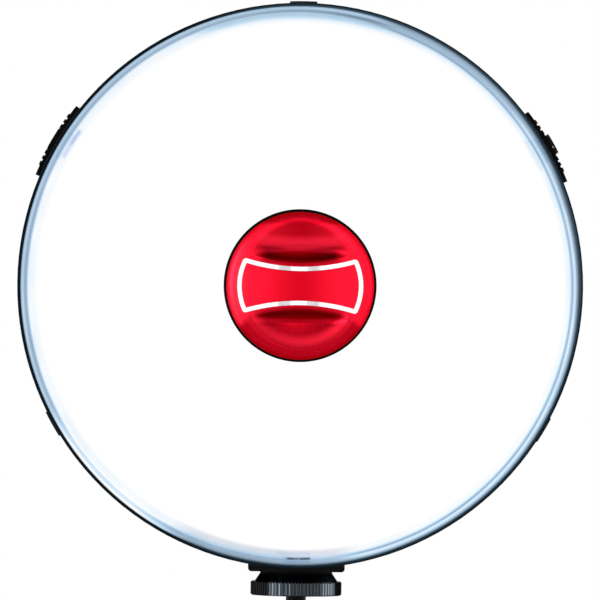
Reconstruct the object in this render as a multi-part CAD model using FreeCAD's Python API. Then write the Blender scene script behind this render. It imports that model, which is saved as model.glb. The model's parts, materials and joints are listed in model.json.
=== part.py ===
import FreeCAD, Part
import math
import os

from FreeCAD import Vector

# Sizes are in millimetres. The lamp looks along -Y and +Z is up.
# The origin is the centre of the shoe foot's underside, on the ball head's axis.
# Inside the lamp, a depth runs back from its front rim and a radius from its centre.

# Lamp casing
LAMP_RADIUS = 72.5
BEZEL_WALL = 0.75
BEZEL_LENGTH = 10.5
RING_WALL = 2.0
LEDGE_DEPTH = 9.0
SPLIT_DEPTH = 30.0
BACK_DEPTH = 42.0
SHOULDER_RADIUS = 10.0
COVER_WALL = 2.0
TONGUE_WALL = 0.7
TONGUE_LENGTH = 1.5
STEM_DEPTH = 20.0

# Named clearances
FIT_GAP = 0.1
RUN_GAP = 0.05
TRIM_GAP = 0.3
SEAT_GAP = 0.2

# Corners of one knurl tooth, as shares of its pitch and of its depth
KNURL_CORNERS = ((0.0, 0.0), (0.4, 0.0), (0.6, 1.0), (0.8, 1.0))

# Front light panel
BAND_FRONT = 0.9
BAND_STEP_DEPTH = 4.2
BAND_STEP_RISE = 0.7
BAND_TOP_WALL = 0.45
BAND_STEP_WALL = 1.15
BAND_LEDGE_WALL = 1.95
BAND_FOOT_WALL = 2.75
BAND_LIP = 0.4
BAND_BEVEL = 0.6
DIFFUSER_WALL = 2.0
DIFFUSER_OVERLAP = 1.1
CONE_WALL = 1.2
CONE_LAND = 0.8
CLIP_WIDTH = 7.0
CLIP_WALL = 0.5

# Light board and what cools it
BOARD_MARGIN = 7.5
BOARD_DEPTH = 16.5
BOARD_WALL = 1.6
BOARD_EDGE = 1.5
FLANGE_WALL = 1.7
LED_SIDE = 2.8
LED_HEIGHT = 0.7
LED_FIRST_ROW = 14.0
LED_ROW_PITCH = 10.75
LED_PITCH = 9.9
SINK_MARGIN = 3.2
SINK_WALL = 2.0
FIN_HEIGHT = 6.5
FIN_WALL = 1.6
FIN_PITCH = 9.0
FIN_MARGIN = 7.3
PANEL_SCREW_ANGLES = (0.0, 60.0, 120.0, 180.0, 240.0, 300.0)

# Screws: shank radius, head radius and head height, and the share of a head that its socket takes
SMALL_SCREW = (1.0, 1.9, 1.3)
CASE_SCREW = (1.25, 2.4, 1.8)
POST_SCREW = (1.5, 2.7, 1.8)
SOCKET_SHARE = 0.6
CASE_SCREW_MARGIN = 4.3
CASE_SCREW_ANGLES = (90.0, 210.0, 330.0)
CASE_SCREW_LENGTH = 12.0
CASE_SCREW_SEAT = 36.0
PILLAR_RADIUS = 3.2

# Mounting blocks round the rim
PAD_FRONT = 11.0
PAD_BACK = 29.0
PAD_RISE = 1.2
PAD_HALF_WIDTH = 12.45
PAD_CORNER = 0.9
GRIP_RISE = 1.6
GRIP_HALF_ANGLE = 8.0
GRIP_RIB_ANGLE = 5.9
GRIP_END_DROP = 0.3
GRIP_NOTCH_DEPTH = 0.4
GRIP_NOTCH_WIDTH = 0.6
GRIP_NOTCH_ANGLES = (2.4, 3.6, 4.8)
BUMP_RISE = 0.7
BUMP_WIDTH = 7.0
BUMP_FRONT = 13.0
BUMP_BACK = 28.0
RIGHT_ANGLE = 30.0
LEFT_ANGLE = 150.0
BASE_ANGLE = 270.0
BLOCK_ANGLES = (RIGHT_ANGLE, LEFT_ANGLE, BASE_ANGLE)

# Quarter-inch camera thread, 20 turns to the inch
STUD_RADIUS = 3.175
INSERT_RADIUS = 4.5
INSERT_LENGTH = 6.0
BOSS_RADIUS = 5.5
STUD_LENGTH = 5.5
STUD_BEVEL = 0.5
PLUG_RISE = 0.9
PLUG_TIP_RADIUS = 2.8
PLUG_LENGTH = 6.5
PLUG_SLOT = 1.0

# Centre knob
KNOB_RADIUS = 18.9
KNOB_HEIGHT = 11.0
KNOB_EDGE = 2.5
KNOB_LIP = 0.6
WASHER_MARGIN = 0.74
WASHER_WALL = 1.5
SCOOP_CENTRE = 2.2
SCOOP_MARGIN = 0.2
SCOOP_DEPTH = 5.0
BAR_HALF_HEIGHT = 5.9
BAR_WAIST_RADIUS = 40.0
BAR_SLOPE = 35.0
BAR_FOOT_ROUND = 1.5
BAR_EDGE_ROUND = 0.7
BORDER_CORNER_MARGIN = 4.5
BORDER_SIDE_MARGIN = 2.8
BORDER_MID_MARGIN = 1.0
BORDER_CORNER_DROP = 1.5
BORDER_CORNER_ROUND = 0.9
BORDER_WIDTH = 1.1
BORDER_GAP = 0.12
BORDER_SINK = 0.5
KNOB_STUD_RADIUS = 3.0
KNOB_STUD_LENGTH = 7.5
POST_RADIUS = 6.0
POST_NECK_RADIUS = 4.0
POST_BORE_DEPTH = 13.6

# Controls on the back
DISPLAY_SIZE = (37.8, 20.0)
DISPLAY_MARGIN = 2.0
DISPLAY_FRAME = 1.8
WINDOW_WALL = 1.2
DISPLAY_WALL = 2.4
DIAL_X = 41.0
DIAL_Z = 26.0
DIAL_RADIUS = 8.5
DIAL_HEIGHT = 7.4
DIAL_TEETH = 36
DIAL_TOOTH = 0.35
DIAL_BEVEL = 0.7
DIAL_RIM = 1.4
DIAL_MARK_WIDTH = 0.9
DIAL_SKIRT_GAP = 0.4
SHAFT_RADIUS = 3.0
BUSH_RADIUS = 4.0
ENCODER_SIZE = 12.0
ENCODER_HEIGHT = 6.4
BUTTON_X = 41.0
BUTTON_Z = -6.0
BUTTON_RADIUS = 5.0
BUTTON_RISE = 1.4
BUTTON_FLANGE = 1.1
BUTTON_TRAVEL = 1.0
MARK_RADIUS = 2.4
MARK_WIDTH = 0.5
MARK_SINK = 0.3
SWITCH_SIZE = 12.0
SWITCH_HEIGHT = 4.0
JACK_X = -41.0
JACK_Z = -6.0
JACK_RADIUS = 5.5
JACK_BORE = 2.8
JACK_BORE_DEPTH = 9.0
JACK_PIN = 1.0
JACK_PIN_SINK = 1.0
VENT_ANGLES = (-28.0, -20.0, -12.0, -4.0, 4.0, 12.0, 20.0, 28.0)
VENT_WIDTH = 2.2
VENT_FRONT = 32.0
VENT_BACK = 37.5

# Driver board behind the heat sink
DRIVER_DEPTH = 29.4
DRIVER_HALF_WIDTH = 44.0
DRIVER_BOTTOM = -34.0
DRIVER_TOP = 16.0
DRIVER_WALL = 1.6
DRIVER_SCREW_X = 27.0
DRIVER_SCREW_Z = (-30.0, 12.0)
CHIP_SIDE = 6.0
CHIP_HEIGHT = 1.4
COIL_RADIUS = 6.0
COIL_HEIGHT = 4.6
COIL_X = 7.8
CAPACITOR_RADIUS = 3.0
CAPACITOR_HEIGHT = 6.0
PART_PITCH = 12.0

# Battery, its plate and the sprung wedge that holds it
BATTERY_WIDTH = 38.4
BATTERY_LENGTH = 70.8
BATTERY_THICKNESS = 20.5
BATTERY_BOTTOM = -53.4
BATTERY_TRAVEL = 6.5
BATTERY_EDGE = 2.5
PLATE_MARGIN = 2.4
PLATE_FOOT = 3.6
PLATE_HEAD = 9.6
PLATE_WALL = 8.0
PLATE_CORNER = 3.0
RAIL_HEIGHT = 5.2
RAIL_TOP = 14.0
RAIL_ROOT = 1.0
HOOK_DEPTH = 2.4
HOOK_WALL = 1.6
HOOK_REACH = 2.0
HOOK_LENGTH = 5.0
HOOK_Z = (-44.0, -24.0, -4.0)
LEDGE_HEIGHT = 6.0
BLADE_X = (-12.0, 12.0)
BLADE_WIDTH = 4.0
BLADE_WALL = 1.0
BLADE_LENGTH = 5.0
BLADE_LIFT = 3.0
WEDGE_WIDTH = 10.0
WEDGE_LENGTH = 6.7
WEDGE_RISE = 2.2
WEDGE_BODY = 3.2
PLATE_SCREW_X = 15.0
PLATE_SCREW_Z = (-38.0, 4.0)

# Ball head and shoe foot
FOOT_WIDTH = 18.5
FOOT_LENGTH = 18.0
FOOT_WALL = 2.0
FOOT_CORNER = 1.0
FOOT_POST_RADIUS = 5.0
FOOT_THREAD_DEPTH = 7.0
SHOE_WASHER_BOTTOM = 3.6
SHOE_WASHER_WALL = 0.8
SHOE_WASHER_RADIUS = 9.0
SHOE_RING_RADIUS = 11.5
SHOE_RING_HEIGHT = 4.2
HOUSING_GAP = 0.8
HOUSING_BASE = 3.6
HOUSING_BEVEL = 0.8
HOUSING_WALL = 3.3
BALL_RADIUS = 8.5
BALL_LIFT = 1.5
LIP_RISE = 4.0
SEAT_WALL = 0.6
SEAT_DROP = 3.0
NECK_RADIUS = 2.6
NECK_LENGTH = 6.5
WHEEL_RADIUS = 11.75
WHEEL_HEIGHT = 3.6
WHEEL_TEETH = 80
WHEEL_TOOTH = 0.3
WHEEL_BEVEL = 0.3
HUB_HEIGHT = 2.1
HUB_RADIUS = 9.3
HUB_FOOT_RADIUS = 10.7
FRICTION_WALL = 0.6
CLAMP_SCREW_RADIUS = 2.5
CLAMP_BOSS_RADIUS = 5.5
CLAMP_BOSS_REACH = 2.5
CLAMP_BOSS_ROOT = 2.0
CLAMP_PAD_LENGTH = 2.2
CLAMP_COLLAR = 2.0
CLAMP_KNOB_RADIUS = 8.0
CLAMP_KNOB_LENGTH = 9.0
CLAMP_KNOB_ROUND = 1.0
CLAMP_DENT_ANGLES = (0.0, 60.0, 120.0, 180.0, 240.0, 300.0)
CLAMP_DENT_RADIUS = 2.2

# Places worked out from the sizes above
BORE_RADIUS = LAMP_RADIUS - RING_WALL
RIM_INSIDE = LAMP_RADIUS - BEZEL_WALL
BAND_OUTSIDE = RIM_INSIDE - FIT_GAP
DIFFUSER_DEPTH = LEDGE_DEPTH - DIFFUSER_WALL
BAND_INSIDE = RIM_INSIDE - BAND_FOOT_WALL
DIFFUSER_RADIUS = BAND_INSIDE + DIFFUSER_OVERLAP
BOARD_RADIUS = BORE_RADIUS - BOARD_MARGIN
CONE_FOOT_RADIUS = BOARD_RADIUS - BOARD_EDGE
LED_ROW_COUNT = int((CONE_FOOT_RADIUS - LED_SIDE - LED_FIRST_ROW) / LED_ROW_PITCH) + 1
SINK_RADIUS = BORE_RADIUS - SINK_MARGIN
SINK_DEPTH = BOARD_DEPTH + BOARD_WALL
FIN_DEPTH = SINK_DEPTH + SINK_WALL
FIN_FIELD_RADIUS = SINK_RADIUS - FIN_MARGIN
FIN_SIDE_COUNT = int(FIN_FIELD_RADIUS / FIN_PITCH)
PANEL_SCREW_CIRCLE = (BOARD_RADIUS + SINK_RADIUS) / 2
CASE_SCREW_CIRCLE = BORE_RADIUS - CASE_SCREW_MARGIN
PAD_FLAT = LAMP_RADIUS + PAD_RISE
GRIP_RADIUS = LAMP_RADIUS + GRIP_RISE
PLUG_TOP = GRIP_RADIUS + PLUG_RISE
INSIDE_BACK = BACK_DEPTH - COVER_WALL
PILLAR_SPLIT = SPLIT_DEPTH - TONGUE_LENGTH
LAMP_DEPTH = BACK_DEPTH + PLATE_WALL
WASHER_RADIUS = KNOB_RADIUS + WASHER_MARGIN
KNOB_BASE = DIFFUSER_DEPTH - WASHER_WALL
KNOB_FACE = KNOB_BASE - KNOB_HEIGHT
SCOOP_RADIUS = KNOB_RADIUS - KNOB_EDGE - SCOOP_MARGIN - SCOOP_CENTRE
BORDER_CORNER_X = KNOB_RADIUS - BORDER_CORNER_MARGIN
BORDER_MID_X = KNOB_RADIUS - BORDER_SIDE_MARGIN
BORDER_MID_Z = BAR_HALF_HEIGHT - BORDER_MID_MARGIN
BAR_FLARE = BAR_WAIST_RADIUS - math.sqrt(BAR_WAIST_RADIUS**2 - BORDER_CORNER_X**2)
BORDER_CORNER_Z = BAR_HALF_HEIGHT + BAR_FLARE - BORDER_CORNER_DROP
BATTERY_TOP = BATTERY_BOTTOM + BATTERY_LENGTH
PLATE_HALF_WIDTH = BATTERY_WIDTH / 2 + PLATE_MARGIN
PLATE_BOTTOM = BATTERY_BOTTOM - PLATE_FOOT
PLATE_TOP = BATTERY_TOP + PLATE_HEAD
DISPLAY_Z = PLATE_TOP + DISPLAY_MARGIN + DISPLAY_SIZE[1] / 2
SHOE_RING_TOP = SHOE_WASHER_BOTTOM + SHOE_WASHER_WALL + SHOE_RING_HEIGHT
HOUSING_BOTTOM = SHOE_RING_TOP + HOUSING_GAP
HOUSING_FLOOR = HOUSING_BOTTOM + HOUSING_BASE
BALL_CENTRE = HOUSING_FLOOR + BALL_RADIUS + BALL_LIFT
SEAT_RADIUS = BALL_RADIUS + SEAT_WALL
SEAT_BOTTOM = HOUSING_FLOOR + RUN_GAP
SEAT_TOP = BALL_CENTRE - SEAT_DROP
HOUSING_RADIUS = SEAT_RADIUS + FIT_GAP + HOUSING_WALL
CLAMP_BOSS_END = HOUSING_RADIUS + CLAMP_BOSS_REACH
CLAMP_PAD_START = BALL_RADIUS + FIT_GAP
CLAMP_PAD_END = CLAMP_PAD_START + CLAMP_PAD_LENGTH
CLAMP_KNOB_START = CLAMP_BOSS_END + CLAMP_COLLAR
WHEEL_BOTTOM = BALL_CENTRE + BALL_RADIUS + NECK_LENGTH
WHEEL_TOP = WHEEL_BOTTOM + WHEEL_HEIGHT
HUB_TOP = WHEEL_TOP + HUB_HEIGHT
PAD_BOTTOM = HUB_TOP + FRICTION_WALL
LAMP_CENTRE_Z = PAD_BOTTOM + PAD_FLAT


def outline(start, *steps):
    """Closed wire in (radius, length). A step is a point, or a pair: a point on an arc and its end."""
    edges = []
    here = Vector(start[0], start[1], 0)
    for step in steps + (start,):
        if isinstance(step[0], tuple):
            through = Vector(step[0][0], step[0][1], 0)
            there = Vector(step[1][0], step[1][1], 0)
            edges.append(Part.Arc(here, through, there).toShape())
        else:
            there = Vector(step[0], step[1], 0)
            edges.append(Part.makeLine(here, there))
        here = there
    return Part.Wire(edges)


def turned(wire):
    """Solid of revolution about Y, with the outline's length running along +Y."""
    return Part.Face(wire).revolve(Vector(0, 0, 0), Vector(0, 1, 0), 360)


def turned_up(wire):
    """Solid of revolution about Z, with the outline's length running up."""
    solid = turned(wire)
    solid.rotate(Vector(0, 0, 0), Vector(1, 0, 0), 90)
    return solid


def disc(radius, front, back, x=0.0, z=0.0):
    """Cylinder along the lamp's axis, between two depths."""
    return Part.makeCylinder(radius, back - front, Vector(x, front, z), Vector(0, 1, 0))


def washer(outer, inner, front, back, x=0.0, z=0.0):
    """Flat ring along the lamp's axis, between two depths."""
    return disc(outer, front, back, x, z).cut(disc(inner, front, back, x, z))


def block(x_from, x_to, front, back, z_from, z_to):
    """Box between two places on each axis."""
    corner = Vector(x_from, front, z_from)
    return Part.makeBox(x_to - x_from, back - front, z_to - z_from, corner)


def radial(radius, inner, outer, depth):
    """Cylinder along the lamp's radius at 0 degrees, to the right."""
    return Part.makeCylinder(radius, outer - inner, Vector(inner, depth, 0), Vector(1, 0, 0))


def at_angle(shape, angle):
    """Copy of a shape made at 0 degrees, carried round the lamp's rim, upwards from the right."""
    copy = shape.copy()
    copy.rotate(Vector(0, 0, 0), Vector(0, -1, 0), angle)
    return copy


def at_angles(shape, angles):
    return [at_angle(shape, angle) for angle in angles]


def on_circle(radius, angle):
    turn = math.radians(angle)
    return radius * math.cos(turn), radius * math.sin(turn)


def joined(first, others):
    return first.fuse(others).removeSplitter()


def corner_edges(shape, direction):
    """Straight edges of a block that run along one direction."""
    found = []
    for edge in shape.Edges:
        run = edge.Vertexes[-1].Point.sub(edge.Vertexes[0].Point)
        if run.Length > 0 and abs(abs(run.normalize().dot(direction)) - 1.0) < 1e-6:
            found.append(edge)
    return found


def knurled(radius, tooth, count, height, bevel):
    """Straight-knurled disc standing on z = 0, with its two rims bevelled."""
    points = []
    for step in range(count):
        for along, down in KNURL_CORNERS:
            x, y = on_circle(radius - down * tooth, 360.0 * (step + along) / count)
            points.append(Vector(x, y, 0))
    rim = Part.Face(Part.makePolygon(points + points[:1])).extrude(Vector(0, 0, height))
    low = Part.makeCone(radius - bevel, radius, bevel)
    middle = Part.makeCylinder(radius, height - 2 * bevel, Vector(0, 0, bevel))
    high = Part.makeCone(radius, radius - bevel, bevel, Vector(0, 0, height - bevel))
    return rim.common(low.fuse([middle, high]).removeSplitter())


def in_lamp(shape):
    """Carries a shape from the lamp's own axes to its place on the ball head."""
    shape.translate(Vector(0, -STEM_DEPTH, LAMP_CENTRE_Z))
    return shape


def front_bezel():
    """Thin outer rim round the light panel, with a rounded front edge."""
    nose = BEZEL_WALL / 2
    return turned(
        outline(
            (RIM_INSIDE, nose),
            ((LAMP_RADIUS - nose, 0.0), (LAMP_RADIUS, nose)),
            (LAMP_RADIUS, BEZEL_LENGTH),
            (RIM_INSIDE, BEZEL_LENGTH),
        )
    )


def front_ring():
    """Casing ring with the bezel's seat, board flange, thread bosses, screw pillars and bumps."""
    ring = turned(
        outline(
            (BAND_OUTSIDE, LEDGE_DEPTH),
            (BAND_OUTSIDE, BEZEL_LENGTH),
            (LAMP_RADIUS, BEZEL_LENGTH),
            (LAMP_RADIUS, SPLIT_DEPTH),
            (BORE_RADIUS, SPLIT_DEPTH),
            (BORE_RADIUS, LEDGE_DEPTH),
        )
    )
    wall_middle = (BORE_RADIUS + LAMP_RADIUS) / 2
    flange = washer(wall_middle, BOARD_RADIUS + TRIM_GAP, SINK_DEPTH - FLANGE_WALL, SINK_DEPTH)
    boss = radial(BOSS_RADIUS, SINK_RADIUS + SEAT_GAP, wall_middle, STEM_DEPTH)
    pillar_front = FIN_DEPTH + TRIM_GAP
    pillar = disc(PILLAR_RADIUS, pillar_front, PILLAR_SPLIT, CASE_SCREW_CIRCLE)
    web = block(
        CASE_SCREW_CIRCLE,
        wall_middle,
        pillar_front,
        PILLAR_SPLIT,
        -PILLAR_RADIUS / 2,
        PILLAR_RADIUS / 2,
    )
    bump = disc(LAMP_RADIUS + BUMP_RISE, BUMP_FRONT, BUMP_BACK).common(
        block(
            wall_middle,
            LAMP_RADIUS + BUMP_RISE,
            BUMP_FRONT,
            BUMP_BACK,
            -BUMP_WIDTH / 2,
            BUMP_WIDTH / 2,
        )
    )
    added = [flange] + at_angles(boss, BLOCK_ANGLES)
    for piece in (pillar, web, bump):
        added += at_angles(piece, CASE_SCREW_ANGLES)
    ring = joined(ring, added)
    shank = CASE_SCREW[0]
    bore = disc(shank, CASE_SCREW_SEAT - CASE_SCREW_LENGTH, SPLIT_DEPTH, CASE_SCREW_CIRCLE)
    panel_hole = disc(SMALL_SCREW[0], SINK_DEPTH - FLANGE_WALL, SINK_DEPTH, PANEL_SCREW_CIRCLE)
    insert_hole = radial(INSERT_RADIUS, SINK_RADIUS, LAMP_RADIUS + BUMP_RISE, STEM_DEPTH)
    cuts = at_angles(bore, CASE_SCREW_ANGLES)
    cuts += at_angles(panel_hole, PANEL_SCREW_ANGLES)
    cuts += at_angles(insert_hole, BLOCK_ANGLES)
    return ring.cut(cuts)


def clip_block(inner, gap):
    """One clip at 0 degrees from an inner radius outwards, grown by a gap."""
    half = CLIP_WIDTH / 2 + gap
    outer = BAND_OUTSIDE - BAND_STEP_WALL + gap
    return block(inner, outer, BAND_STEP_DEPTH - gap, DIFFUSER_DEPTH, -half, half)


def reflector_band():
    """Stepped clear band between the rim and the glowing disc."""
    step_back = BAND_STEP_DEPTH + BAND_STEP_RISE
    lip_front = DIFFUSER_DEPTH - BAND_LIP
    band = turned(
        outline(
            (BAND_OUTSIDE, BAND_FRONT),
            (BAND_OUTSIDE, LEDGE_DEPTH),
            (DIFFUSER_RADIUS + FIT_GAP, LEDGE_DEPTH),
            (DIFFUSER_RADIUS + FIT_GAP, DIFFUSER_DEPTH),
            (BAND_INSIDE, DIFFUSER_DEPTH),
            (BAND_INSIDE, lip_front),
            (RIM_INSIDE - BAND_LEDGE_WALL, step_back),
            (RIM_INSIDE - BAND_STEP_WALL - BAND_BEVEL, BAND_STEP_DEPTH + BAND_BEVEL / 2),
            (RIM_INSIDE - BAND_STEP_WALL, BAND_STEP_DEPTH - BAND_BEVEL),
            (RIM_INSIDE - BAND_TOP_WALL, BAND_FRONT),
        )
    )
    slot = clip_block(BAND_INSIDE - CLIP_WALL, SEAT_GAP)
    return band.cut(at_angles(slot, BLOCK_ANGLES))


def panel_clips():
    """Three snap tabs that hold the disc in the band."""
    clip = clip_block(BAND_OUTSIDE - BAND_LEDGE_WALL - CLIP_WALL, 0.0)
    return Part.makeCompound(at_angles(clip, BLOCK_ANGLES))


def diffuser_disc():
    return washer(DIFFUSER_RADIUS, POST_RADIUS + TRIM_GAP, DIFFUSER_DEPTH, LEDGE_DEPTH)


def light_cone():
    """White cone that carries the light from the board to the disc."""
    front = BORE_RADIUS - FIT_GAP
    return turned(
        outline(
            (front - CONE_WALL, LEDGE_DEPTH),
            (front, LEDGE_DEPTH),
            (front, LEDGE_DEPTH + CONE_LAND),
            (CONE_FOOT_RADIUS + CONE_WALL, BOARD_DEPTH),
            (CONE_FOOT_RADIUS, BOARD_DEPTH),
        )
    )


def led_board():
    back = BOARD_DEPTH + BOARD_WALL
    return washer(BOARD_RADIUS, POST_NECK_RADIUS + FIT_GAP, BOARD_DEPTH, back)


def led_chips():
    """Rings of light-emitting chips on the board, at one pitch along every ring."""
    half = LED_SIDE / 2
    chips = []
    for row in range(LED_ROW_COUNT):
        radius = LED_FIRST_ROW + row * LED_ROW_PITCH
        count = int(2 * math.pi * radius / LED_PITCH)
        chip = block(
            radius - half, radius + half, BOARD_DEPTH - LED_HEIGHT, BOARD_DEPTH, -half, half
        )
        chips += at_angles(chip, [360.0 * step / count for step in range(count)])
    return Part.makeCompound(chips)


def heat_sink():
    """Plate with upright fins, cut to a round field."""
    fin_back = FIN_DEPTH + FIN_HEIGHT
    plate = disc(SINK_RADIUS, SINK_DEPTH, FIN_DEPTH)
    field = disc(FIN_FIELD_RADIUS, FIN_DEPTH - SINK_WALL / 2, fin_back)
    fins = []
    for step in range(-FIN_SIDE_COUNT, FIN_SIDE_COUNT + 1):
        middle = step * FIN_PITCH
        fin = block(
            middle - FIN_WALL / 2,
            middle + FIN_WALL / 2,
            FIN_DEPTH - SINK_WALL / 2,
            fin_back,
            -FIN_FIELD_RADIUS,
            FIN_FIELD_RADIUS,
        )
        fins.append(fin.common(field))
    sink = joined(plate, fins)
    head_room = disc(POST_SCREW[1] + TRIM_GAP, FIN_DEPTH, fin_back)
    hole = disc(POST_SCREW[0], SINK_DEPTH, FIN_DEPTH)
    panel_hole = disc(SMALL_SCREW[0], SINK_DEPTH, FIN_DEPTH, PANEL_SCREW_CIRCLE)
    return sink.cut([head_room, hole] + at_angles(panel_hole, PANEL_SCREW_ANGLES))


def screw(size, seat, tip, x=0.0, z=0.0):
    """Socket-headed screw from its head's seat to its tip, either of them being the deeper."""
    shank, head, head_height = size
    way = math.copysign(1.0, tip - seat)
    top = seat - way * head_height
    body = disc(shank, min(seat, tip), max(seat, tip), x, z)
    body = body.fuse(disc(head, min(seat, top), max(seat, top), x, z)).removeSplitter()
    points = []
    for corner in range(6):
        across, up = on_circle(SOCKET_SHARE * head, 60.0 * corner)
        points.append(Vector(x + across, top, z + up))
    socket = Part.Face(Part.makePolygon(points + points[:1]))
    return body.cut(socket.extrude(Vector(0, way * SOCKET_SHARE * head_height, 0)))


def panel_screws():
    one = screw(SMALL_SCREW, FIN_DEPTH, SINK_DEPTH - FLANGE_WALL, PANEL_SCREW_CIRCLE)
    return Part.makeCompound(at_angles(one, PANEL_SCREW_ANGLES))


def case_screws():
    tip = CASE_SCREW_SEAT - CASE_SCREW_LENGTH
    one = screw(CASE_SCREW, CASE_SCREW_SEAT, tip, CASE_SCREW_CIRCLE)
    return Part.makeCompound(at_angles(one, CASE_SCREW_ANGLES))


def rim_arc(outside, half_angle):
    """Piece of ring at 0 degrees that lies on the lamp's rim."""
    points = [Vector(0, PAD_FRONT, 0)]
    for side in (-1, 1):
        x, z = on_circle(2 * LAMP_RADIUS, side * half_angle)
        points.append(Vector(x, PAD_FRONT, z))
    wedge = Part.Face(Part.makePolygon(points + points[:1])).extrude(Vector(0, PAD_BACK - PAD_FRONT, 0))
    ring = disc(outside, PAD_FRONT, PAD_BACK).cut(disc(LAMP_RADIUS, PAD_FRONT, PAD_BACK))
    return ring.common(wedge)


def grip_pad():
    """Ribbed pad at 0 degrees with lower ends and a plain middle round its thread insert."""
    pad = rim_arc(GRIP_RADIUS, GRIP_RIB_ANGLE)
    pad = joined(pad, [rim_arc(GRIP_RADIUS - GRIP_END_DROP, GRIP_HALF_ANGLE)])
    notch = block(
        GRIP_RADIUS - GRIP_NOTCH_DEPTH,
        GRIP_RADIUS + GRIP_NOTCH_DEPTH,
        PAD_FRONT,
        PAD_BACK,
        -GRIP_NOTCH_WIDTH / 2,
        GRIP_NOTCH_WIDTH / 2,
    )
    turns = [side * angle for side in (-1, 1) for angle in GRIP_NOTCH_ANGLES]
    pad = pad.cut(at_angles(notch, turns))
    return pad.cut(radial(INSERT_RADIUS, BORE_RADIUS, GRIP_RADIUS, STEM_DEPTH))


def base_pad():
    """Flat-bottomed pad that the ball head's wheel tightens against."""
    pad = block(BORE_RADIUS, PAD_FLAT, PAD_FRONT, PAD_BACK, -PAD_HALF_WIDTH, PAD_HALF_WIDTH)
    low_corners = [
        edge for edge in corner_edges(pad, Vector(0, 1, 0)) if edge.CenterOfMass.x > LAMP_RADIUS
    ]
    pad = pad.makeFillet(PAD_CORNER, low_corners)
    pad = pad.cut(disc(LAMP_RADIUS, PAD_FRONT, PAD_BACK))
    return pad.cut(radial(INSERT_RADIUS, BORE_RADIUS, PAD_FLAT, STEM_DEPTH))


def thread_insert(outer_end):
    """Camera-thread insert at 0 degrees, open at its outer end."""
    inner_end = outer_end - INSERT_LENGTH
    sleeve = radial(INSERT_RADIUS, inner_end, outer_end, STEM_DEPTH)
    return sleeve.cut(radial(STUD_RADIUS, inner_end, outer_end, STEM_DEPTH))


def thread_plug():
    """Slotted plug screwed into an insert at 0 degrees, standing a little proud of the pad."""
    shank = radial(STUD_RADIUS, PLUG_TOP - PLUG_LENGTH, GRIP_RADIUS, STEM_DEPTH)
    tip = radial(PLUG_TIP_RADIUS, GRIP_RADIUS, PLUG_TOP, STEM_DEPTH)
    slot = block(
        PLUG_TOP - PLUG_SLOT,
        PLUG_TOP,
        STEM_DEPTH - PLUG_SLOT / 2,
        STEM_DEPTH + PLUG_SLOT / 2,
        -PLUG_TIP_RADIUS,
        PLUG_TIP_RADIUS,
    )
    return shank.fuse(tip).removeSplitter().cut(slot)


def scoop(side):
    """Finger dish on one side of the grip bar: part of a ball, stopped by the bar's sloped wall."""
    ball_lift = (SCOOP_RADIUS**2 - (BAR_HALF_HEIGHT - SCOOP_CENTRE) ** 2 - SCOOP_DEPTH**2) / (
        2 * SCOOP_DEPTH
    )
    ball_radius = math.hypot(SCOOP_RADIUS, ball_lift)
    dish = Part.makeSphere(ball_radius, Vector(0, KNOB_FACE - ball_lift, side * SCOOP_CENTRE))
    run = math.tan(math.radians(BAR_SLOPE))
    wall = Part.makeCone(
        BAR_WAIST_RADIUS + run * SCOOP_DEPTH,
        BAR_WAIST_RADIUS - run * 2 * SCOOP_DEPTH,
        3 * SCOOP_DEPTH,
        Vector(0, KNOB_FACE - SCOOP_DEPTH, side * (BAR_HALF_HEIGHT + BAR_WAIST_RADIUS)),
        Vector(0, 1, 0),
    )
    hollow = dish.common(wall)
    foot = [edge for edge in hollow.Edges if edge.BoundBox.YMax > KNOB_FACE + SCOOP_DEPTH / 2]
    return hollow.makeFillet(BAR_FOOT_ROUND, foot)


def border_face(grown):
    """Outline that follows the grip bar, grown by an amount, as a face on the knob's front."""
    corners = ((-1, 1), (1, 1), (1, -1), (-1, -1))
    middles = ((0, BORDER_MID_Z), (BORDER_MID_X, 0), (0, -BORDER_MID_Z), (-BORDER_MID_X, 0))
    edges = []
    for index, middle in enumerate(middles):
        first = corners[index]
        last = corners[(index + 1) % 4]
        start = Vector(first[0] * BORDER_CORNER_X, KNOB_FACE, first[1] * BORDER_CORNER_Z)
        end = Vector(last[0] * BORDER_CORNER_X, KNOB_FACE, last[1] * BORDER_CORNER_Z)
        through = Vector(middle[0], KNOB_FACE, middle[1])
        edges.append(Part.Arc(start, through, end).toShape())
    wire = Part.Wire(edges)
    if grown != 0:
        wire = wire.makeOffset2D(grown, 2)
    return Part.Face(wire)


def border_ring(gap):
    """Line round the grip bar with rounded outer corners, grown by a gap on both sides."""
    sink = Vector(0, BORDER_SINK, 0)
    outer = border_face(gap).extrude(sink)
    outer = outer.makeFillet(BORDER_CORNER_ROUND, corner_edges(outer, Vector(0, 1, 0)))
    return outer.cut(border_face(-BORDER_WIDTH - gap).extrude(sink))


def knob_border():
    """Pale inlaid line round the grip bar."""
    return border_ring(0.0)


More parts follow.
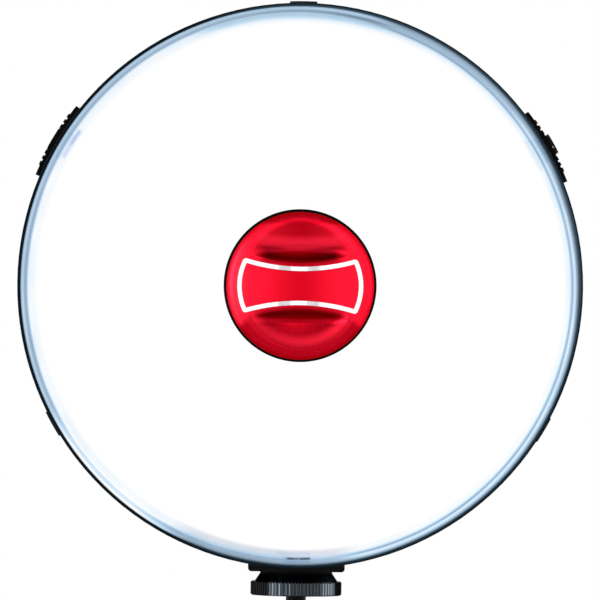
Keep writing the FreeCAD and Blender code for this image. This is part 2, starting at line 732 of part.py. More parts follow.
def centre_knob():
    """Round knob with two finger dishes, a waisted grip bar and a threaded stud behind."""
    stud_end = KNOB_BASE + KNOB_STUD_LENGTH
    edge_middle = KNOB_EDGE * (1 - math.sqrt(0.5))
    body = turned(
        outline(
            (0.0, KNOB_FACE),
            (KNOB_RADIUS - KNOB_EDGE, KNOB_FACE),
            (
                (KNOB_RADIUS - edge_middle, KNOB_FACE + edge_middle),
                (KNOB_RADIUS, KNOB_FACE + KNOB_EDGE),
            ),
            (KNOB_RADIUS, KNOB_BASE - KNOB_LIP),
            (KNOB_RADIUS - KNOB_LIP, KNOB_BASE),
            (KNOB_STUD_RADIUS, KNOB_BASE),
            (KNOB_STUD_RADIUS, stud_end),
            (0.0, stud_end),
        )
    )
    body = body.cut([scoop(1), scoop(-1)])
    dish_edges = []
    for edge in body.Edges:
        box = edge.BoundBox
        on_face = abs(box.YMin - KNOB_FACE) < 1e-3 and abs(box.YMax - KNOB_FACE) < 1e-3
        if on_face and box.XLength < KNOB_RADIUS + SCOOP_RADIUS - KNOB_EDGE:
            dish_edges.append(edge)
    body = body.makeFillet(BAR_EDGE_ROUND, dish_edges)
    return body.cut(border_ring(BORDER_GAP))


def knob_washer():
    return washer(WASHER_RADIUS, POST_RADIUS + TRIM_GAP, KNOB_BASE, DIFFUSER_DEPTH)


def centre_post():
    """Threaded post that the knob screws into."""
    front = KNOB_BASE + WASHER_WALL / 2
    return turned(
        outline(
            (KNOB_STUD_RADIUS + RUN_GAP, front),
            (POST_RADIUS, front),
            (POST_RADIUS, BOARD_DEPTH),
            (POST_NECK_RADIUS, BOARD_DEPTH),
            (POST_NECK_RADIUS, SINK_DEPTH),
            (POST_SCREW[0], SINK_DEPTH),
            (POST_SCREW[0], POST_BORE_DEPTH),
            (KNOB_STUD_RADIUS + RUN_GAP, POST_BORE_DEPTH),
        )
    )


def post_screw():
    return screw(POST_SCREW, FIN_DEPTH, POST_BORE_DEPTH)


def cover_envelope():
    """Rear cover's outer form, filled."""
    flat_radius = LAMP_RADIUS - SHOULDER_RADIUS
    turn_in = BACK_DEPTH - SHOULDER_RADIUS
    reach = SHOULDER_RADIUS * math.sqrt(0.5)
    return turned(
        outline(
            (0.0, SPLIT_DEPTH),
            (LAMP_RADIUS, SPLIT_DEPTH),
            (LAMP_RADIUS, turn_in),
            ((flat_radius + reach, turn_in + reach), (flat_radius, BACK_DEPTH)),
            (0.0, BACK_DEPTH),
        )
    )


def cover_hollow():
    """Space inside the rear cover, down to the tongue's foot."""
    outside = BORE_RADIUS - FIT_GAP - TONGUE_WALL
    flat_radius = LAMP_RADIUS - SHOULDER_RADIUS
    bend = outside - flat_radius
    reach = bend * math.sqrt(0.5)
    turn_in = INSIDE_BACK - bend
    return turned(
        outline(
            (0.0, PILLAR_SPLIT),
            (outside, PILLAR_SPLIT),
            (outside, turn_in),
            ((flat_radius + reach, turn_in + reach), (flat_radius, INSIDE_BACK)),
            (0.0, INSIDE_BACK),
        )
    )


def rear_cover():
    """Rear shell with its tongue, pillars, vents and the holes for what sits in it."""
    tongue = disc(BORE_RADIUS - FIT_GAP, PILLAR_SPLIT, SPLIT_DEPTH)
    shell = cover_envelope().fuse(tongue).removeSplitter().cut(cover_hollow())
    pillar = disc(PILLAR_RADIUS, PILLAR_SPLIT, INSIDE_BACK + COVER_WALL / 2, CASE_SCREW_CIRCLE)
    standoffs = []
    for x in (-DRIVER_SCREW_X, DRIVER_SCREW_X):
        for z in DRIVER_SCREW_Z:
            front = DRIVER_DEPTH + DRIVER_WALL
            standoffs.append(disc(PILLAR_RADIUS, front, INSIDE_BACK + COVER_WALL / 2, x, z))
    shell = joined(shell, at_angles(pillar, CASE_SCREW_ANGLES) + standoffs)
    cuts = at_angles(
        disc(CASE_SCREW[0], PILLAR_SPLIT, CASE_SCREW_SEAT, CASE_SCREW_CIRCLE), CASE_SCREW_ANGLES
    )
    head_room = CASE_SCREW[1] + SEAT_GAP
    cuts += at_angles(
        disc(head_room, CASE_SCREW_SEAT, BACK_DEPTH, CASE_SCREW_CIRCLE), CASE_SCREW_ANGLES
    )
    vent = block(
        BORE_RADIUS - SHOULDER_RADIUS,
        LAMP_RADIUS,
        VENT_FRONT,
        VENT_BACK,
        -VENT_WIDTH / 2,
        VENT_WIDTH / 2,
    )
    cuts += at_angles(vent, [side + angle for side in (0.0, 180.0) for angle in VENT_ANGLES])
    window_seat = BACK_DEPTH - WINDOW_WALL
    cuts.append(window_block(window_seat, BACK_DEPTH, FIT_GAP))
    cuts.append(window_block(INSIDE_BACK, window_seat, -DISPLAY_FRAME))
    for x in (-DIAL_X, DIAL_X):
        cuts.append(disc(BUSH_RADIUS + FIT_GAP, INSIDE_BACK, BACK_DEPTH, x, DIAL_Z))
    cuts.append(disc(BUTTON_RADIUS + FIT_GAP, INSIDE_BACK, BACK_DEPTH, BUTTON_X, BUTTON_Z))
    cuts.append(disc(JACK_RADIUS + FIT_GAP, INSIDE_BACK, BACK_DEPTH, JACK_X, JACK_Z))
    for x in (-PLATE_SCREW_X, PLATE_SCREW_X):
        for z in PLATE_SCREW_Z:
            cuts.append(disc(SMALL_SCREW[0], INSIDE_BACK, BACK_DEPTH, x, z))
    for x in (-DRIVER_SCREW_X, DRIVER_SCREW_X):
        for z in DRIVER_SCREW_Z:
            cuts.append(disc(SMALL_SCREW[0], DRIVER_DEPTH, INSIDE_BACK - COVER_WALL, x, z))
    return shell.cut(cuts)


def window_block(front, back, margin):
    """Block of the display window's outline, larger by a margin all round."""
    half_wide = DISPLAY_SIZE[0] / 2 + margin
    half_tall = DISPLAY_SIZE[1] / 2 + margin
    return block(
        -half_wide, half_wide, front, back, DISPLAY_Z - half_tall, DISPLAY_Z + half_tall
    )


def display_window():
    return window_block(BACK_DEPTH - WINDOW_WALL, BACK_DEPTH, 0.0)


def display_panel():
    return window_block(INSIDE_BACK - DISPLAY_WALL, INSIDE_BACK, 0.0)


def dial(x):
    """Knurled control dial with a recessed end face."""
    front = BACK_DEPTH + DIAL_SKIRT_GAP
    body = knurled(DIAL_RADIUS, DIAL_TOOTH, DIAL_TEETH, DIAL_HEIGHT, DIAL_BEVEL)
    dish_floor = DIAL_HEIGHT - DIAL_BEVEL / 2
    dish = Part.makeCylinder(DIAL_RADIUS - DIAL_RIM, DIAL_BEVEL / 2, Vector(0, 0, dish_floor))
    socket = Part.makeCylinder(SHAFT_RADIUS, DIAL_HEIGHT / 2)
    mark = Part.makeBox(
        DIAL_MARK_WIDTH,
        DIAL_RADIUS - DIAL_RIM - SHAFT_RADIUS,
        DIAL_MARK_WIDTH / 2,
        Vector(-DIAL_MARK_WIDTH / 2, SHAFT_RADIUS, dish_floor - DIAL_MARK_WIDTH / 2),
    )
    body = body.cut([dish, socket, mark])
    body.rotate(Vector(0, 0, 0), Vector(1, 0, 0), -90)
    body.translate(Vector(x, front, DIAL_Z))
    return body


def dial_shaft(x):
    front = INSIDE_BACK - ENCODER_HEIGHT / 2
    back = BACK_DEPTH + DIAL_SKIRT_GAP + DIAL_HEIGHT / 2
    return disc(SHAFT_RADIUS, front, back, x, DIAL_Z)


def encoder(x):
    """Rotary encoder: a case behind the wall and a bush through it."""
    half = ENCODER_SIZE / 2
    front = INSIDE_BACK - ENCODER_HEIGHT
    case = block(x - half, x + half, front, INSIDE_BACK, DIAL_Z - half, DIAL_Z + half)
    bush = disc(BUSH_RADIUS, INSIDE_BACK, BACK_DEPTH, x, DIAL_Z)
    bore = disc(SHAFT_RADIUS + RUN_GAP, INSIDE_BACK - ENCODER_HEIGHT / 2, BACK_DEPTH, x, DIAL_Z)
    return case.fuse(bush).removeSplitter().cut(bore)


def power_button():
    """Push button with a flange that keeps it behind the wall."""
    front = INSIDE_BACK - BUTTON_FLANGE
    cap = disc(BUTTON_RADIUS, front, BACK_DEPTH + BUTTON_RISE, BUTTON_X, BUTTON_Z)
    flange = disc(BUTTON_RADIUS + BUTTON_FLANGE, front, INSIDE_BACK, BUTTON_X, BUTTON_Z)
    return cap.fuse(flange).removeSplitter().cut(power_mark())


def power_mark():
    """Shallow groove in the button's face: a ring, open at its top round a short bar."""
    face = BACK_DEPTH + BUTTON_RISE
    floor = face - MARK_SINK
    half = MARK_WIDTH / 2
    ring = washer(MARK_RADIUS + half, MARK_RADIUS - half, floor, face, BUTTON_X, BUTTON_Z)
    reach = 2 * MARK_WIDTH
    top = BUTTON_Z + MARK_RADIUS + MARK_WIDTH
    opening = block(BUTTON_X - reach, BUTTON_X + reach, floor, face, BUTTON_Z, top)
    bar = block(BUTTON_X - half, BUTTON_X + half, floor, face, BUTTON_Z, top)
    return ring.cut(opening).fuse(bar)


def power_switch():
    """Switch under the button, with room for the button's travel."""
    half = SWITCH_SIZE / 2
    back = INSIDE_BACK - BUTTON_FLANGE - BUTTON_TRAVEL - SEAT_GAP
    case = block(
        BUTTON_X - half,
        BUTTON_X + half,
        back - SWITCH_HEIGHT,
        back,
        BUTTON_Z - half,
        BUTTON_Z + half,
    )
    leg_front = DRIVER_DEPTH + DRIVER_WALL
    leg = disc(PILLAR_RADIUS, leg_front, back - SWITCH_HEIGHT, BUTTON_X, BUTTON_Z)
    return case.fuse(leg).removeSplitter()


def dc_jack():
    """Barrel power socket with its centre pin."""
    front = DRIVER_DEPTH + DRIVER_WALL
    body = disc(JACK_RADIUS, front, BACK_DEPTH, JACK_X, JACK_Z)
    bore = disc(JACK_BORE, BACK_DEPTH - JACK_BORE_DEPTH, BACK_DEPTH, JACK_X, JACK_Z)
    pin = disc(JACK_PIN, front + SEAT_GAP, BACK_DEPTH - JACK_PIN_SINK, JACK_X, JACK_Z)
    return body.cut(bore).fuse(pin).removeSplitter()


def driver_board():
    back = DRIVER_DEPTH + DRIVER_WALL
    board = block(
        -DRIVER_HALF_WIDTH, DRIVER_HALF_WIDTH, DRIVER_DEPTH, back, DRIVER_BOTTOM, DRIVER_TOP
    )
    holes = []
    for x in (-DRIVER_SCREW_X, DRIVER_SCREW_X):
        for z in DRIVER_SCREW_Z:
            holes.append(disc(SMALL_SCREW[0], DRIVER_DEPTH, back, x, z))
    return board.cut(holes)


def driver_screws():
    """Screws driven in from the front, through the board into the rear cover's standoffs."""
    screws = []
    for x in (-DRIVER_SCREW_X, DRIVER_SCREW_X):
        for z in DRIVER_SCREW_Z:
            screws.append(screw(SMALL_SCREW, DRIVER_DEPTH, INSIDE_BACK - COVER_WALL, x, z))
    return Part.makeCompound(screws)


def driver_parts():
    """Two coils, three capacitors and three chips on the driver board."""
    base = DRIVER_DEPTH + DRIVER_WALL
    half = CHIP_SIDE / 2
    middle = (DRIVER_BOTTOM + DRIVER_TOP) / 2
    parts = []
    for x in (-COIL_X, COIL_X):
        parts.append(disc(COIL_RADIUS, base, base + COIL_HEIGHT, x, DRIVER_BOTTOM / 2))
    for x in (-PART_PITCH, 0.0, PART_PITCH):
        parts.append(disc(CAPACITOR_RADIUS, base, base + CAPACITOR_HEIGHT, x, DRIVER_TOP / 2))
        parts.append(
            block(x - half, x + half, base, base + CHIP_HEIGHT, middle - half, middle + half)
        )
    return Part.makeCompound(parts)


def battery_plate():
    """Plate with two side rails whose hooks hold the battery, and a foot under it."""
    face = LAMP_DEPTH
    plate = block(-PLATE_HALF_WIDTH, PLATE_HALF_WIDTH, BACK_DEPTH, face, PLATE_BOTTOM, PLATE_TOP)
    plate = plate.makeFillet(PLATE_CORNER, corner_edges(plate, Vector(0, 1, 0)))
    rail_inside = BATTERY_WIDTH / 2 + TRIM_GAP
    rail_root = face - RAIL_ROOT
    added = []
    for side in (-1, 1):
        near, far = sorted((side * rail_inside, side * PLATE_HALF_WIDTH))
        rail_start = PLATE_BOTTOM + PLATE_CORNER
        added.append(block(near, far, rail_root, face + RAIL_HEIGHT, rail_start, RAIL_TOP))
        hook_root = rail_inside + RAIL_ROOT / 2
        tip, root = sorted((side * (BATTERY_WIDTH / 2 - HOOK_REACH), side * hook_root))
        for z in HOOK_Z:
            hook_front = face + HOOK_DEPTH
            hook_back = hook_front + HOOK_WALL
            added.append(block(tip, root, hook_front, hook_back, z, z + HOOK_LENGTH))
    foot_top = BATTERY_BOTTOM - SEAT_GAP
    added.append(
        block(
            -BATTERY_WIDTH / 2,
            BATTERY_WIDTH / 2,
            rail_root,
            face + LEDGE_HEIGHT,
            PLATE_BOTTOM + PLATE_CORNER / 2,
            foot_top,
        )
    )
    plate = joined(plate, added)
    cuts = [
        block(
            -WEDGE_WIDTH / 2 - SEAT_GAP,
            WEDGE_WIDTH / 2 + SEAT_GAP,
            face - WEDGE_BODY - WEDGE_RISE - SEAT_GAP,
            face,
            BATTERY_TOP,
            BATTERY_TOP + WEDGE_LENGTH + 2 * SEAT_GAP,
        )
    ]
    for x in (-PLATE_SCREW_X, PLATE_SCREW_X):
        for z in PLATE_SCREW_Z:
            cuts.append(disc(SMALL_SCREW[0], BACK_DEPTH, BACK_DEPTH + PLATE_WALL / 2, x, z))
    return plate.cut(cuts)


def plate_screws():
    """Screws from inside the rear cover into the battery plate."""
    screws = []
    for x in (-PLATE_SCREW_X, PLATE_SCREW_X):
        for z in PLATE_SCREW_Z:
            screws.append(screw(SMALL_SCREW, INSIDE_BACK, BACK_DEPTH + PLATE_WALL / 2, x, z))
    return Part.makeCompound(screws)


def battery():
    """Battery with side grooves, entry notches below each hook and slots for the contacts."""
    face = LAMP_DEPTH
    half = BATTERY_WIDTH / 2
    pack = block(-half, half, face, face + BATTERY_THICKNESS, BATTERY_BOTTOM, BATTERY_TOP)
    far_edges = [
        edge
        for edge in corner_edges(pack, Vector(0, 0, 1))
        if edge.CenterOfMass.y > face + BATTERY_THICKNESS / 2
    ]
    pack = pack.makeFillet(BATTERY_EDGE, far_edges)
    groove_front = face + HOOK_DEPTH - TRIM_GAP
    groove_back = face + HOOK_DEPTH + HOOK_WALL + TRIM_GAP
    groove_end = HOOK_Z[-1] + HOOK_LENGTH + TRIM_GAP
    cuts = []
    for side in (-1, 1):
        near, far = sorted((side * (half - HOOK_REACH - TRIM_GAP), side * half))
        cuts.append(block(near, far, groove_front, groove_back, BATTERY_BOTTOM, groove_end))
        for z in HOOK_Z:
            start = z - BATTERY_TRAVEL - TRIM_GAP
            end = start + HOOK_LENGTH + 2 * TRIM_GAP
            cuts.append(block(near, far, face, groove_front, max(start, BATTERY_BOTTOM), end))
    for x in BLADE_X:
        cuts.append(
            block(
                x - BLADE_WIDTH / 2 - TRIM_GAP,
                x + BLADE_WIDTH / 2 + TRIM_GAP,
                face + BLADE_LIFT - TRIM_GAP,
                face + BLADE_LIFT + BLADE_WALL + TRIM_GAP,
                BATTERY_BOTTOM,
                BATTERY_BOTTOM + BLADE_LENGTH + TRIM_GAP,
            )
        )
    return pack.cut(cuts)


def battery_contacts():
    """Two blades standing on the plate's foot."""
    blades = []
    for x in BLADE_X:
        blades.append(
            block(
                x - BLADE_WIDTH / 2,
                x + BLADE_WIDTH / 2,
                LAMP_DEPTH + BLADE_LIFT,
                LAMP_DEPTH + BLADE_LIFT + BLADE_WALL,
                BATTERY_BOTTOM - SEAT_GAP,
                BATTERY_BOTTOM + BLADE_LENGTH - SEAT_GAP,
            )
        )
    return Part.makeCompound(blades)


def battery_wedge():
    """Sprung wedge above the battery, which the battery pushes in as it slides up."""
    low = BATTERY_TOP + SEAT_GAP
    high = low + WEDGE_LENGTH
    corners = (
        (LAMP_DEPTH - WEDGE_BODY, low),
        (LAMP_DEPTH - WEDGE_BODY, high),
        (LAMP_DEPTH + WEDGE_RISE, high),
        (LAMP_DEPTH, low),
    )
    points = [Vector(-WEDGE_WIDTH / 2, depth, z) for depth, z in corners]
    side = Part.Face(Part.makePolygon(points + points[:1]))
    return side.extrude(Vector(WEDGE_WIDTH, 0, 0))


def shoe_foot():
    """Shoe plate with its post and the camera thread in its underside."""
    plate = Part.makeBox(
        FOOT_WIDTH, FOOT_LENGTH, FOOT_WALL, Vector(-FOOT_WIDTH / 2, -FOOT_LENGTH / 2, 0)
    )
    plate = plate.makeChamfer(FOOT_CORNER, corner_edges(plate, Vector(0, 0, 1)))
    post = Part.makeCylinder(FOOT_POST_RADIUS, HOUSING_FLOOR)
    return plate.fuse(post).removeSplitter().cut(Part.makeCylinder(STUD_RADIUS, FOOT_THREAD_DEPTH))


def shoe_washer():
    base = Vector(0, 0, SHOE_WASHER_BOTTOM)
    ring = Part.makeCylinder(SHOE_WASHER_RADIUS, SHOE_WASHER_WALL, base)
    return ring.cut(Part.makeCylinder(FOOT_POST_RADIUS + TRIM_GAP, SHOE_WASHER_WALL, base))


def shoe_ring():
    """Knurled ring that tightens the foot in a shoe."""
    ring = knurled(SHOE_RING_RADIUS, WHEEL_TOOTH, WHEEL_TEETH, SHOE_RING_HEIGHT, 2 * WHEEL_BEVEL)
    ring = ring.cut(Part.makeCylinder(FOOT_POST_RADIUS + RUN_GAP, SHOE_RING_HEIGHT))
    ring.translate(Vector(0, 0, SHOE_WASHER_BOTTOM + SHOE_WASHER_WALL))
    return ring


def ball_housing():
    """Turned cup round the ball, with a boss for the clamp screw."""
    socket = BALL_RADIUS + FIT_GAP
    top = BALL_CENTRE + LIP_RISE
    mouth = math.sqrt(socket**2 - LIP_RISE**2)
    half_rise = LIP_RISE / 2
    half_mouth = math.sqrt(socket**2 - half_rise**2)
    bevel = HOUSING_BEVEL
    edge_middle = 2 * bevel * (1 - math.sqrt(0.5))
    cup = turned_up(
        outline(
            (FOOT_POST_RADIUS, HOUSING_BOTTOM),
            (HOUSING_RADIUS - bevel, HOUSING_BOTTOM),
            (HOUSING_RADIUS, HOUSING_BOTTOM + bevel),
            (HOUSING_RADIUS, top - 2 * bevel),
            (
                (HOUSING_RADIUS - edge_middle, top - edge_middle),
                (HOUSING_RADIUS - 2 * bevel, top),
            ),
            (mouth, top),
            ((half_mouth, BALL_CENTRE + half_rise), (socket, BALL_CENTRE)),
            (SEAT_RADIUS + FIT_GAP, BALL_CENTRE),
            (SEAT_RADIUS + FIT_GAP, HOUSING_FLOOR),
            (FOOT_POST_RADIUS, HOUSING_FLOOR),
        )
    )
    boss_start = HOUSING_RADIUS - CLAMP_BOSS_ROOT
    boss = Part.makeCylinder(
        CLAMP_BOSS_RADIUS,
        CLAMP_BOSS_END - boss_start,
        Vector(boss_start, 0, BALL_CENTRE - SEAT_GAP),
        Vector(1, 0, 0),
    )
    hole = Part.makeCylinder(
        CLAMP_SCREW_RADIUS + RUN_GAP, CLAMP_BOSS_END, Vector(0, 0, BALL_CENTRE), Vector(1, 0, 0)
    )
    return cup.fuse(boss).removeSplitter().cut(hole)


def ball_seat():
    """Cup that carries the ball and turns in the housing."""
    socket = BALL_RADIUS + FIT_GAP
    drop = BALL_CENTRE - SEAT_TOP
    rim = math.sqrt(socket**2 - drop**2)
    low = BALL_CENTRE - socket + SEAT_GAP
    low_radius = math.sqrt(socket**2 - (BALL_CENTRE - low) ** 2)
    mid_drop = (drop + BALL_CENTRE - low) / 2
    mid_radius = math.sqrt(socket**2 - mid_drop**2)
    return turned_up(
        outline(
            (low_radius, SEAT_BOTTOM),
            (SEAT_RADIUS, SEAT_BOTTOM),
            (SEAT_RADIUS, SEAT_TOP),
            (rim, SEAT_TOP),
            ((mid_radius, BALL_CENTRE - mid_drop), (low_radius, low)),
        )
    )


def ball_stem():
    """Ball, neck and camera stud in one piece."""
    neck_start = BALL_CENTRE + math.sqrt(BALL_RADIUS**2 - NECK_RADIUS**2)
    stud = STUD_RADIUS - RUN_GAP
    tip = PAD_BOTTOM + STUD_LENGTH
    return turned_up(
        outline(
            (0.0, BALL_CENTRE - BALL_RADIUS),
            ((BALL_RADIUS, BALL_CENTRE), (NECK_RADIUS, neck_start)),
            (NECK_RADIUS, WHEEL_BOTTOM - STUD_BEVEL),
            (stud, WHEEL_BOTTOM),
            (stud, tip - STUD_BEVEL),
            (stud - STUD_BEVEL, tip),
            (0.0, tip),
        )
    )


def lock_wheel():
    """Knurled wheel with a flared hub, tightened up against the lamp's base pad."""
    rim = knurled(WHEEL_RADIUS, WHEEL_TOOTH, WHEEL_TEETH, WHEEL_HEIGHT, WHEEL_BEVEL)
    hub = turned_up(
        outline(
            (0.0, WHEEL_HEIGHT / 2),
            (HUB_FOOT_RADIUS, WHEEL_HEIGHT / 2),
            (HUB_FOOT_RADIUS, WHEEL_HEIGHT),
            (HUB_RADIUS, WHEEL_HEIGHT + HUB_HEIGHT),
            (0.0, WHEEL_HEIGHT + HUB_HEIGHT),
        )
    )
    wheel = rim.fuse(hub).removeSplitter()
    wheel = wheel.cut(Part.makeCylinder(STUD_RADIUS, WHEEL_HEIGHT + HUB_HEIGHT))
    wheel.translate(Vector(0, 0, WHEEL_BOTTOM))
    return wheel


def friction_washer():
    base = Vector(0, 0, HUB_TOP)
    ring = Part.makeCylinder(HUB_RADIUS, FRICTION_WALL, base)
    return ring.cut(Part.makeCylinder(STUD_RADIUS + TRIM_GAP, FRICTION_WALL, base))


def clamp_pad():
    """Slug that the clamp screw presses against the ball."""
    start = Vector(CLAMP_PAD_START, 0, BALL_CENTRE)
    return Part.makeCylinder(CLAMP_SCREW_RADIUS, CLAMP_PAD_LENGTH, start, Vector(1, 0, 0))


def clamp_knob():
    """Lobed knob and its screw along +X."""
    head = Part.makeCylinder(CLAMP_KNOB_RADIUS, CLAMP_KNOB_LENGTH)
    rims = [edge for edge in head.Edges if edge.BoundBox.ZLength < CLAMP_KNOB_ROUND]
    head = head.makeFillet(CLAMP_KNOB_ROUND, rims)
    dents = []
    for angle in CLAMP_DENT_ANGLES:
        x, y = on_circle(CLAMP_KNOB_RADIUS + CLAMP_KNOB_ROUND, angle)
        dents.append(Part.makeCylinder(CLAMP_DENT_RADIUS, CLAMP_KNOB_LENGTH, Vector(x, y, 0)))
    head = head.cut(dents)
    head.translate(Vector(0, 0, CLAMP_KNOB_START))
    shank_end = CLAMP_KNOB_START + CLAMP_KNOB_ROUND
    shank = Part.makeCylinder(
        CLAMP_SCREW_RADIUS, shank_end - CLAMP_PAD_END, Vector(0, 0, CLAMP_PAD_END)
    )
    knob = head.fuse(shank).removeSplitter()
    knob.rotate(Vector(0, 0, 0), Vector(0, 1, 0), 90)
    knob.translate(Vector(0, 0, BALL_CENTRE))
    return knob


def lamp_nodes():
    """Every piece of the lamp, in the lamp's own axes."""
    return {
        "front_bezel": front_bezel(),
        "front_ring": front_ring(),
        "reflector_band": reflector_band(),
        "panel_clips": panel_clips(),
        "diffuser_disc": diffuser_disc(),
        "light_cone": light_cone(),
        "led_board": led_board(),
        "led_chips": led_chips(),
        "heat_sink": heat_sink(),
        "panel_screws": panel_screws(),
        "centre_post": centre_post(),
        "post_screw": post_screw(),
        "knob_washer": knob_washer(),
        "centre_knob": centre_knob(),
        "knob_border": knob_border(),
        "left_grip_pad": at_angle(grip_pad(), LEFT_ANGLE),
        "left_insert": at_angle(thread_insert(GRIP_RADIUS), LEFT_ANGLE),
        "right_grip_pad": at_angle(grip_pad(), RIGHT_ANGLE),
        "right_insert": at_angle(thread_insert(GRIP_RADIUS), RIGHT_ANGLE),
        "right_plug": at_angle(thread_plug(), RIGHT_ANGLE),
        "base_pad": at_angle(base_pad(), BASE_ANGLE),
        "base_insert": at_angle(thread_insert(PAD_FLAT), BASE_ANGLE),
        "rear_cover": rear_cover(),
        "case_screws": case_screws(),
        "display_window": display_window(),
        "display_panel": display_panel(),
        "left_dial": dial(DIAL_X),
        "left_dial_shaft": dial_shaft(DIAL_X),
        "left_encoder": encoder(DIAL_X),
        "right_dial": dial(-DIAL_X),
        "right_dial_shaft": dial_shaft(-DIAL_X),
        "right_encoder": encoder(-DIAL_X),
        "power_button": power_button(),
        "power_switch": power_switch(),
        "dc_jack": dc_jack(),
        "driver_board": driver_board(),
        "driver_screws": driver_screws(),
        "driver_parts": driver_parts(),
        "battery_plate": battery_plate(),
        "plate_screws": plate_screws(),
        "battery_contacts": battery_contacts(),
        "battery": battery(),
        "battery_wedge": battery_wedge(),
    }


def head_nodes():
    """Every piece of the ball head and its shoe foot."""
    return {
        "shoe_foot": shoe_foot(),
        "shoe_washer": shoe_washer(),
        "shoe_ring": shoe_ring(),
        "ball_housing": ball_housing(),
        "ball_seat": ball_seat(),
        "ball_stem": ball_stem(),
        "clamp_pad": clamp_pad(),
        "clamp_knob": clamp_knob(),
        "lock_wheel": lock_wheel(),
        "friction_washer": friction_washer(),
    }


os.makedirs("parts", exist_ok=True)
nodes = {name: in_lamp(shape) for name, shape in lamp_nodes().items()}
nodes.update(head_nodes())
for name, shape in nodes.items():
    assert shape.isValid(), name
    shape.exportStep(f"parts/{name}.step")
    box = shape.BoundBox
    print(
        f"{name:18s} solids {len(shape.Solids):3d} volume {shape.Volume:10.1f}"
        f"  x {box.XMin:.1f} {box.XMax:.1f}  y {box.YMin:.1f} {box.YMax:.1f}"
        f"  z {box.ZMin:.1f} {box.ZMax:.1f}"
    )
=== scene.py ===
import json
import math

import bmesh
import bpy
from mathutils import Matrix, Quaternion, Vector


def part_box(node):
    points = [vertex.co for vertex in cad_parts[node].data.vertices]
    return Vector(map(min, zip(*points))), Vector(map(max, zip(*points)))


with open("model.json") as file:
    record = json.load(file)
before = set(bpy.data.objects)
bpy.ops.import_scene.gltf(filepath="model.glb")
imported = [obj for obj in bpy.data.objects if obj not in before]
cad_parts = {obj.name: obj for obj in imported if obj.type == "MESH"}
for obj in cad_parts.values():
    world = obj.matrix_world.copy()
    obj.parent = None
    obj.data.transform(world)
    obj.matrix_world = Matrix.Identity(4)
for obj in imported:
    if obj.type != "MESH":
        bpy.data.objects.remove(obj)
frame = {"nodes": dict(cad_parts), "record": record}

# The lamp's place and size from the CAD, in metres: it looks along -Y, and +Z is up
BEZEL_LOW, BEZEL_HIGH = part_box("front_bezel")
FRONT_Y = BEZEL_LOW.y
LAMP_RADIUS = (BEZEL_HIGH.x - BEZEL_LOW.x) / 2
LAMP_Z = (BEZEL_LOW.z + BEZEL_HIGH.z) / 2
LAMP_CENTRE = (0.0, 0.0, LAMP_Z)

# The photograph's view: metres, degrees, and the lens in millimetres
CAMERA_DISTANCE = 2.5
CAMERA_AZIMUTH = -0.2
CAMERA_ELEVATION = 0.5
CAMERA_ROLL = 0.75
CAMERA_LENS = 585.6
AIM_DOWN = 0.00364

# Studio: each softbox has a name, azimuth, elevation, distance, width and height, and watts
SOFTBOXES = (
    ("left_strip", -62.0, 8.0, 1.3, (0.35, 0.9), 5.0),
    ("right_strip", 88.0, 8.0, 1.3, (0.8, 0.9), 4.0),
    ("front_fill", 8.0, 25.0, 1.8, (1.2, 1.2), 9.0),
    ("back_fill", 165.0, 30.0, 1.8, (1.2, 1.2), 9.0),
)
FLOOR_RADIUS = 0.7
FLOOR_DROP = 0.0001
FLOOR_FADE_START = 0.22
FLOOR_FADE_END = 0.6
AMBIENT_STRENGTH = 0.38

# Painted light of the rim's four sides as (depth, lightness), where depth is a share of the fade
RIM_FADE = 0.005
LEFT_LIGHT = (
    (0.11, 0.45), (0.16, 0.72), (0.22, 0.80), (0.35, 0.59),
    (0.42, 0.70), (0.52, 0.95), (0.85, 0.98), (1.0, 1.0),
)
RIGHT_LIGHT = (
    (0.12, 0.44), (0.19, 0.50), (0.27, 0.53), (0.345, 0.76), (0.40, 0.90),
    (0.44, 0.89), (0.52, 0.64), (0.62, 0.92), (0.74, 0.97), (0.95, 1.0),
)
TOP_LIGHT = (
    (0.11, 0.45), (0.19, 0.75), (0.24, 0.75), (0.34, 0.57), (0.40, 0.64),
    (0.49, 0.82), (0.55, 0.77), (0.65, 0.86), (0.80, 0.96), (1.0, 1.0),
)
BOTTOM_LIGHT = (
    (0.14, 0.28), (0.24, 0.46), (0.34, 0.57), (0.45, 0.70),
    (0.55, 0.82), (0.65, 0.88), (0.86, 0.94), (1.0, 1.0),
)

# How far the fade shifts outwards at the upper right and at the left
UPPER_LEAN = -0.0003
LEFT_LEAN = -0.00012

# Parts of the rim for its painted light: angle upwards from the right, then the cosines between
# which each fades in
RIM_TOP = (92.0, 0.92, 0.97)
RIM_LEFT = (180.0, 0.92, 0.98)
RIM_BOTTOM = (263.0, 0.93, 0.975)
GLINT = (225.0, 0.94, 0.995)
UPPER_DIM = (62.0, 0.88, 0.995)
OUTER_DIM = (6.0, 0.93, 0.99)
UPPER_GLOW = (45.0, 0.3, 0.8)
LOWER_GLOW = (300.0, 0.5, 0.9)

# Stretches, each as its middle, half its width and half the width of its soft edge
GREY_UNDERSIDE = (0.0689, 0.0009, 0.0004)
# Painted shadow line along the lowest clip's edge, with a warm spot and a pale gap in it
CLIP_LINE = (0.0702, 0.00035, 0.00025)
CLIP_LINE_ACROSS = (0.0005, 0.0031, 0.0006)
CLIP_WARM_SPOT = (-0.0002, 0.0003, 0.0002)
CLIP_PALE_GAP = (0.0006, 0.0002, 0.0002)
# Depths of the rim's painted dim stretches
UPPER_DIM_DEPTH = (0.43, 0.08, 0.04)
OUTER_DIM_DEPTH = (0.23, 0.08, 0.06)
# Painted highlight bands on the knob
LOW_BAND = (0.0144, 0.0011, 0.0012)
HIGH_BAND = (0.005, 0.0014, 0.001)
INLAY_PATCH = (0.0037, 0.0016, 0.0005)
